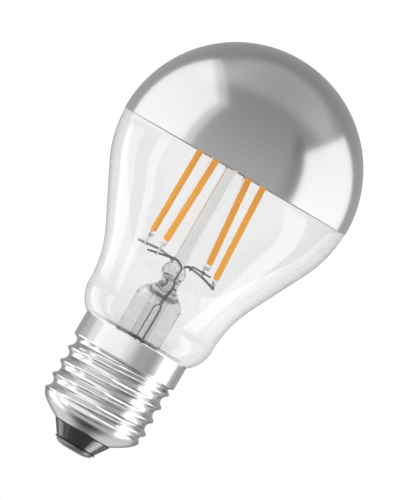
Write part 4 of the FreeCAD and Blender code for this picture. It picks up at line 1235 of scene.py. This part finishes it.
# Screw cap
@dataclass
class Cap:
    """The rolled shell, the black glass insulator and the centre contact, in millimetres."""

    contact_radius: float = 4.75
    contact_flat_radius: float = 2.4
    contact_dome: float = 0.8
    contact_edge: float = 0.35
    shank_radius: float = 1.4
    insulator_foot_radius: float = 5.1
    insulator_lip: float = 0.22
    insulator_lip_height: float = 0.25
    insulator_fill: float = 2.2
    insulator_ledge: float = 0.1
    insulator_edge: float = 0.12
    insulator_edge_drops: tuple[float, float] = (0.14, 0.10)
    insulator_bead_extra: float = 0.06
    insulator_cone_step: float = 0.03
    moulding_clearance: float = 0.04
    major_radius: float = 13.2
    thread_depth: float = 1.1
    pitch: float = 3.629
    thread_turns: float = 3.8
    crest_share: float = 0.25
    crest_phase: float = 0.54
    wall: float = 0.3
    lip_radius: float = 7.6
    dome_height: float = 4.7
    dome_step: float = 0.35
    dome_blend: float = 1.5
    skirt_step: float = 0.3
    skirt_blend: float = 0.9
    rim_chamfer: float = 0.2
    columns: int = 216
    plain_columns: int = 144
    slope_step: float = 1e-4
    lip_z: float = field(default_factory=lambda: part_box("cap_shell")[0].z / MM)
    rim_z: float = field(default_factory=lambda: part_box("cap_shell")[1].z / MM)

    def __post_init__(self) -> None:
        """Works out the heights and the knuckle's two arcs."""
        self.dome_top = self.lip_z + self.dome_height
        self.thread_top = self.dome_top + self.thread_turns * self.pitch
        half_pitch = self.pitch / 2
        self.steepest = 2 * math.atan(self.thread_depth / half_pitch)
        both_radii = half_pitch / math.sin(self.steepest)
        self.crest_radius = both_radii * self.crest_share
        self.root_radius = both_radii - self.crest_radius

    def knuckle(self, phase: np.ndarray) -> np.ndarray:
        """Radius of the thread at a phase in turns from a crest: two tangent arcs a side."""
        along = np.abs(phase - np.round(phase)) * self.pitch
        left = self.pitch / 2 - along
        crest = (self.major_radius - self.crest_radius
                 + np.sqrt(np.clip(self.crest_radius**2 - along**2, 0, None)))
        root = (self.major_radius - self.thread_depth + self.root_radius
                - np.sqrt(np.clip(self.root_radius**2 - left**2, 0, None)))
        return np.where(along < self.crest_radius * math.sin(self.steepest), crest, root)

    def radius(self, angle: np.ndarray, height: np.ndarray) -> np.ndarray:
        """Outer radius of the shell: dome, thread and skirt, blended into each other."""
        share = np.clip((height - self.lip_z) / self.dome_height, 0, 1)
        dome_head = self.major_radius - self.dome_step
        dome = self.lip_radius + (dome_head - self.lip_radius) * np.sin(share * math.pi / 2)
        thread = self.knuckle((height - self.dome_top) / self.pitch - angle / TURN - self.crest_phase)
        blend = self.dome_blend / 2
        rolled = dome + (thread - dome) * smoothstep(self.dome_top - blend, self.dome_top + blend, height)
        skirt = self.major_radius + self.skirt_step
        upper = smoothstep(self.thread_top, self.thread_top + self.skirt_blend, height)
        return rolled + (skirt - rolled) * upper

    def wall_rows(self, height: np.ndarray, depth: float) -> np.ndarray:
        """Rows of the shell's wall at a depth: the outer surface moved in along its own normal."""
        angle = np.linspace(0, TURN, self.columns, endpoint=False)
        angle, height = np.meshgrid(angle, height)
        step = self.slope_step
        radius = self.radius(angle, height)
        along_axis = (self.radius(angle, height + step) - radius) / step
        along_turn = (self.radius(angle + step, height) - radius) / step / radius
        length = np.sqrt(1 + along_turn**2 + along_axis**2)
        out, side, up = 1 / length, -along_turn / length, -along_axis / length
        x = radius - depth * out
        y = -depth * side
        return np.stack([
            x * np.cos(angle) - y * np.sin(angle),
            x * np.sin(angle) + y * np.cos(angle),
            height - depth * up,
        ], axis=-1)

    def shell(self) -> Skin:
        """The shell: up the outside, over the rim, and down the inside to the lip."""
        outer = self.wall_rows(np.linspace(self.lip_z, self.rim_z, 190), 0.0)
        inner = self.wall_rows(np.linspace(self.rim_z - self.rim_chamfer, self.lip_z, 90), self.wall)
        return Skin(np.concatenate([outer, inner]), ring_rows=True)

    def insulator(self) -> Skin:
        """The insulator: a ring from the shank's side out over the foot's lip and up the cone."""
        contact_top = self.contact_dome + self.contact_edge
        lip = self.insulator_foot_radius + self.insulator_lip
        foot_top = contact_top + self.insulator_lip_height + self.insulator_lip
        depth = self.wall + self.moulding_clearance
        inside = self.wall_rows(np.linspace(self.lip_z, self.lip_z + self.insulator_fill, 8), depth)[:, 0]
        bead = self.insulator_lip_height / 2 + self.insulator_bead_extra
        edge, (cone_drop, arc_drop) = self.insulator_edge, self.insulator_edge_drops
        ledge_x, ledge_z = self.lip_radius - self.insulator_ledge, self.lip_z - self.insulator_ledge
        cone_foot = self.insulator_foot_radius + self.insulator_cone_step
        profile = chain(
            run((self.shank_radius, contact_top), (lip - bead, contact_top), 4),
            arc((lip - bead, contact_top + bead), bead, -math.pi / 2, math.pi / 2 - 0.5, 10),
            run((cone_foot, foot_top), (ledge_x - edge, ledge_z - cone_drop), 24),
            arc((ledge_x - 2 * edge, ledge_z - arc_drop), edge, 0.0, math.pi / 2, 6),
            run((self.lip_radius - self.wall, ledge_z), (inside[0, 0], self.lip_z), 2),
            inside[:, [0, 2]],
            run((inside[-1, 0], inside[-1, 2]), (self.shank_radius, inside[-1, 2]), 4),
        )
        return turned(profile, self.plain_columns, ring=True)

    def contact(self) -> Skin:
        """The contact: a flat tip, a domed rim with a rounded edge, and the shank."""
        contact_top = self.contact_dome + self.contact_edge
        shank_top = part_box("centre_contact")[1].z / MM
        radius = self.contact_radius
        crown = eased(np.array([
            (self.contact_flat_radius, 0.0),
            (self.contact_flat_radius * 0.45 + radius * 0.55, self.contact_dome * 0.28),
            (radius - 0.12, self.contact_dome - 0.1),
            (radius, self.contact_dome + 0.08),
        ]), 8)
        profile = chain(
            run((0, 0), (self.contact_flat_radius - 0.2, 0), 4),
            crown,
            run((radius, self.contact_dome + 0.1), (radius, contact_top), 3),
            run((radius, contact_top), (self.shank_radius, contact_top), 4),
            run((self.shank_radius, contact_top), (self.shank_radius, shank_top), 4),
            run((self.shank_radius, shank_top), (0, shank_top), 3),
        )
        return turned(profile, self.plain_columns)

    def build(self, dresser: Dresser) -> None:
        """Makes and dresses the cap, and dresses the cement."""
        shell = make_piece("cap_shell_skin", [self.shell()], 50.0)
        dresser.piece(shell, Finish.CAP_METAL, "cap_shell")
        insulator = make_piece("cap_insulator_skin", [self.insulator()], 50.0)
        dresser.piece(insulator, Finish.BLACK_GLASS, "cap_insulator")
        contact = make_piece("centre_contact_skin", [self.contact()])
        dresser.piece(contact, Finish.CONTACT, "centre_contact")
        dresser.node("cap_cement", Finish.CEMENT)


DRIVER_FINISHES = {
    "driver_board": Finish.BOARD,
    "smoothing_capacitor": Finish.CAN,
    "capacitor_wires": Finish.TINNED,
    "choke_core": Finish.FERRITE,
    "choke_winding": Finish.ENAMEL,
    "fuse_resistor": Finish.RESISTOR,
    "bridge_rectifier": Finish.PACKAGE,
    "driver_chip": Finish.PACKAGE,
    "sense_resistors": Finish.PACKAGE,
    "contact_wire": Finish.TINNED,
    "shell_wire": Finish.TINNED,
}


# Studio
CAP_PIECES = ("cap_shell_skin", "cap_insulator_skin", "centre_contact_skin")

# Name, directions of the two sides, distance, heights of the two ends, brightness, and what it lights
SOFT_BOXES = (
    ("left_box", (-131.0, -55.0), 400.0, (50.0, 510.0), 0.35, "other"),
    ("left_inner_box", (-131.0, -46.0), 400.0, (50.0, 610.0), 0.27, "other"),
    ("right_box", (58.0, 132.0), 400.0, (50.0, 480.0), 0.66, "crown"),
    ("cap_left_box", (-100.0, -10.0), 250.0, (-150.0, 420.0), 0.17, "cap"),
    ("cap_middle_box", (-98.0, 3.0), 250.0, (-150.0, 420.0), 0.17, "cap"),
    ("cap_inner_box", (-75.0, 13.0), 250.0, (-150.0, 420.0), 0.20, "cap"),
    ("cap_right_box", (69.0, 112.0), 250.0, (-250.0, 420.0), 0.8, "cap"),
    ("cap_upper_box", (-4.0, 66.0), 250.0, (180.0, 620.0), 1.0, "cap_metal"),
    ("cap_lower_box", (82.0, 126.0), 250.0, (-480.0, -150.0), 2.2, "black_glass"),
)

# Degrees that a strip slants for a height of 1, the edges of its two flanks, and its brightness
TABLE_STRIPS = (
    (-20.0, (-130.0, -126.0, -101.0, -97.0), 1.4),
    (-20.0, (-80.0, -77.0, -67.0, -64.0), 1.9),
    (55.0, (48.0, 54.0, 79.0, 84.0), 2.3),
)


@dataclass
class Studio:
    """A grey room, soft boxes that each light some of the pieces, a pale floor and the camera.

    Directions are given as an azimuth, in degrees from the camera towards the right, and a height,
    the sine of the elevation.
    """

    floor_z: float = -45.0
    floor_radius: float = 3000.0
    floor_glow: float = 0.69
    white: float = 1.03
    room_grey: float = 0.508
    table_grey: float = 0.66
    camera_aim: tuple[float, float] = (3.46, 56.64)
    camera_distance: float = 3400.0
    lean: float = 30.26
    frame_height: float = 117.65
    sensor: float = 36.0

    def world(self) -> None:
        """Lights the lamp from all round: a grey room with a brighter ceiling patch and, below the
        horizon, a pale table with three bright strips and the lamp's own shade right under it. The
        camera, and what is seen through glass, get white."""
        world = bpy.data.worlds.new("studio")
        bpy.context.scene.world = world
        world.use_nodes = True
        sheet = NodeSheet(world.node_tree)
        direction = sheet.add("TexCoord").outputs["Generated"]
        across, back, height = sheet.add("SeparateXYZ", {0: direction}).outputs
        azimuth = sheet.math("ARCTAN2", across, sheet.math("MULTIPLY", back, -1.0))
        azimuth = sheet.math("MULTIPLY", azimuth, 180 / math.pi)
        upward = sheet.math("MAXIMUM", height, 0.0)
        above = sheet.math("SUBTRACT", self.room_grey, sheet.math("MULTIPLY", upward, 0.2))
        overhead = sheet.oval(across, back, half_x=0.7, middle_y=0.13, half_y=0.42)
        wide = sheet.math("MULTIPLY", sheet.math("MULTIPLY", across, across), 0.45)
        patch = sheet.math("MULTIPLY", sheet.step(overhead, 1.4, 0.4), sheet.math("ADD", wide, 0.13))
        patch = sheet.math("MULTIPLY", patch, sheet.step(height, 0.3, 0.6))
        above = sheet.math("ADD", above, patch)
        above = sheet.math("SUBTRACT", above, sheet.math("MULTIPLY", sheet.step(back, 0.4, 0.7), 0.07))
        edge = sheet.window(azimuth, 38.0, 52.0, 59.0, 62.0)
        edge = sheet.math("MULTIPLY", edge, sheet.step(height, 0.85, 0.7))
        above = sheet.math("SUBTRACT", above, sheet.math("MULTIPLY", edge, 0.15))
        under = sheet.oval(across, back, half_x=0.27, middle_y=0.33, half_y=0.2)
        steep = sheet.step(height, -0.7, -0.8)
        shade = sheet.math("MULTIPLY", sheet.math("MULTIPLY", sheet.step(under, 2.4, 0.0), steep), 0.7)
        nearer = sheet.math("MULTIPLY", sheet.step(back, 0.05, -0.25), sheet.step(height, -0.72, -0.88))
        shade = sheet.math("ADD", shade, sheet.math("MULTIPLY", nearer, 0.15))
        rear = sheet.math("MULTIPLY", sheet.step(back, 0.6, 0.74), sheet.step(height, -0.46, -0.34))
        shade = sheet.math("ADD", shade, sheet.math("MULTIPLY", rear, 0.5))
        cores = None
        for slant, edges, level in TABLE_STRIPS:
            slanted = sheet.math("ADD", azimuth, sheet.math("MULTIPLY", height, slant))
            core = sheet.math("MULTIPLY", sheet.window(slanted, *edges), level)
            cores = core if cores is None else sheet.math("ADD", cores, core)
        cores = sheet.math("MULTIPLY", cores, sheet.window(height, -0.86, -0.72, -0.13, -0.05))
        below = sheet.math("SUBTRACT", self.table_grey, sheet.math("MULTIPLY", across, 0.08))
        below = sheet.math("ADD", below, sheet.math("MULTIPLY", back, 0.2))
        below = sheet.math("SUBTRACT", sheet.math("ADD", below, cores), shade)
        lower = sheet.step(height, -0.02, -0.06)
        total = sheet.math("ADD", above, sheet.math("MULTIPLY", lower, sheet.math("SUBTRACT", below, above)))
        shown = sheet.add("Mix", data_type="FLOAT")
        sheet.feed(shown.inputs["Factor"], sheet.seen())
        sheet.feed(shown.inputs[2], total)
        sheet.feed(shown.inputs[3], self.white)
        sky = sheet.add("Background", {"Color": (1, 1, 1, 1), "Strength": shown.outputs[0]})
        sheet.add("OutputWorld", {"Surface": sky.outputs[0]})

    def floor(self) -> None:
        """A pale round floor, which the camera sees white but for the lamp's shadow."""
        rings = np.stack([np.array([0.0, self.floor_radius]), np.full(2, self.floor_z)], axis=1)
        floor = make_piece("floor", [turned(rings[::-1], 64)])
        material, sheet = sheet_for("floor")
        pale = sheet.add("BsdfDiffuse", {"Color": (0.8, 0.8, 0.8, 1)})
        strength = sheet.math("MULTIPLY", sheet.seen(), self.floor_glow)
        glow = sheet.add("Emission", {"Color": (1, 1, 1, 1), "Strength": strength})
        both = sheet.add("AddShader", {0: pale.outputs[0], 1: glow.outputs[0]})
        sheet.add("OutputMaterial", {"Surface": both.outputs[0]})
        floor.data.materials.append(material)
        floor.visible_glossy = False

    def soft_box(self, name: str, sides: tuple[float, float], distance: float, heights: tuple[float, float],
                 level: float, receivers: bpy.types.Collection) -> None:
        """A rectangular lamp that faces the lamp axis and isn't seen by the camera.

        Args:
            name: the lamp's name.
            sides: directions of its left and right ends from the axis, in degrees.
            distance: how far its middle is from the axis, in millimetres.
            heights: heights of its lower and upper ends.
            level: its brightness, where white is 1.
            receivers: what it lights.
        """
        light = bpy.data.lights.new(name, "AREA")
        light.shape = "RECTANGLE"
        light.size = 2 * distance * math.tan(math.radians(sides[1] - sides[0]) / 2) * MM
        light.size_y = (heights[1] - heights[0]) * MM
        light.energy = 4 * level * light.size * light.size_y
        angle = math.radians(sum(sides) / 2)
        away, up = Vector((math.sin(angle), -math.cos(angle), 0)), Vector((0, 0, 1))
        turn = Matrix((up.cross(away), up, away)).transposed().to_4x4()
        holder = bpy.data.objects.new(name, light)
        holder.matrix_world = Matrix.Translation((away * distance + up * sum(heights) / 2) * MM) @ turn
        holder.visible_camera = False
        holder.light_linking.receiver_collection = receivers
        bpy.context.scene.collection.objects.link(holder)

    def lamps(self) -> None:
        """The soft boxes, each with the collection of the pieces that it lights."""
        members = {
            "cap": list(CAP_PIECES),
            "crown": ["mirror_crown_skin"],
            "other": [item.name for item in bpy.context.scene.objects
                      if item.type == "MESH" and item.name not in CAP_PIECES],
            "cap_metal": ["cap_shell_skin"],
            "black_glass": ["cap_insulator_skin"],
        }
        receivers = {}
        for group, names in members.items():
            receivers[group] = bpy.data.collections.new(group + "_receivers")
            for name in names:
                receivers[group].objects.link(bpy.data.objects[name])
        for *box, group in SOFT_BOXES:
            self.soft_box(*box, receivers[group])

    def camera(self) -> None:
        """A long lens, level with the lamp's middle and rolled so that the lamp leans right."""
        camera = bpy.data.cameras.new("camera")
        camera.sensor_width = self.sensor
        camera.lens = self.sensor * self.camera_distance / self.frame_height
        camera.clip_start = 0.1
        camera.clip_end = 20.0
        lean = math.radians(self.lean)
        right = Vector((math.cos(lean), 0, math.sin(lean)))
        up = Vector((-math.sin(lean), 0, math.cos(lean)))
        back = right.cross(up)
        turn = Matrix((right, up, back)).transposed().to_4x4()
        holder = bpy.data.objects.new("camera", camera)
        aim = Vector((self.camera_aim[0], 0, self.camera_aim[1])) * MM
        holder.matrix_world = Matrix.Translation(aim + back * self.camera_distance * MM) @ turn
        bpy.context.scene.collection.objects.link(holder)
        bpy.context.scene.camera = holder

    def build(self) -> None:
        """Sets the light, the floor and the camera."""
        bpy.context.scene.view_settings.view_transform = "Standard"
        self.world()
        self.floor()
        self.lamps()
        self.camera()


def main() -> None:
    """Builds the lamp's looks and the studio."""
    logging.basicConfig(level=logging.INFO, format="%(message)s")
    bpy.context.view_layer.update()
    dresser = Dresser()
    Bulb().build(dresser)
    Stem().build(dresser)
    Cage().build(dresser)
    Cap().build(dresser)
    for name, finish in DRIVER_FINISHES.items():
        dresser.node(name, finish)
    Studio().build()


if __name__ == "__main__":
    main()
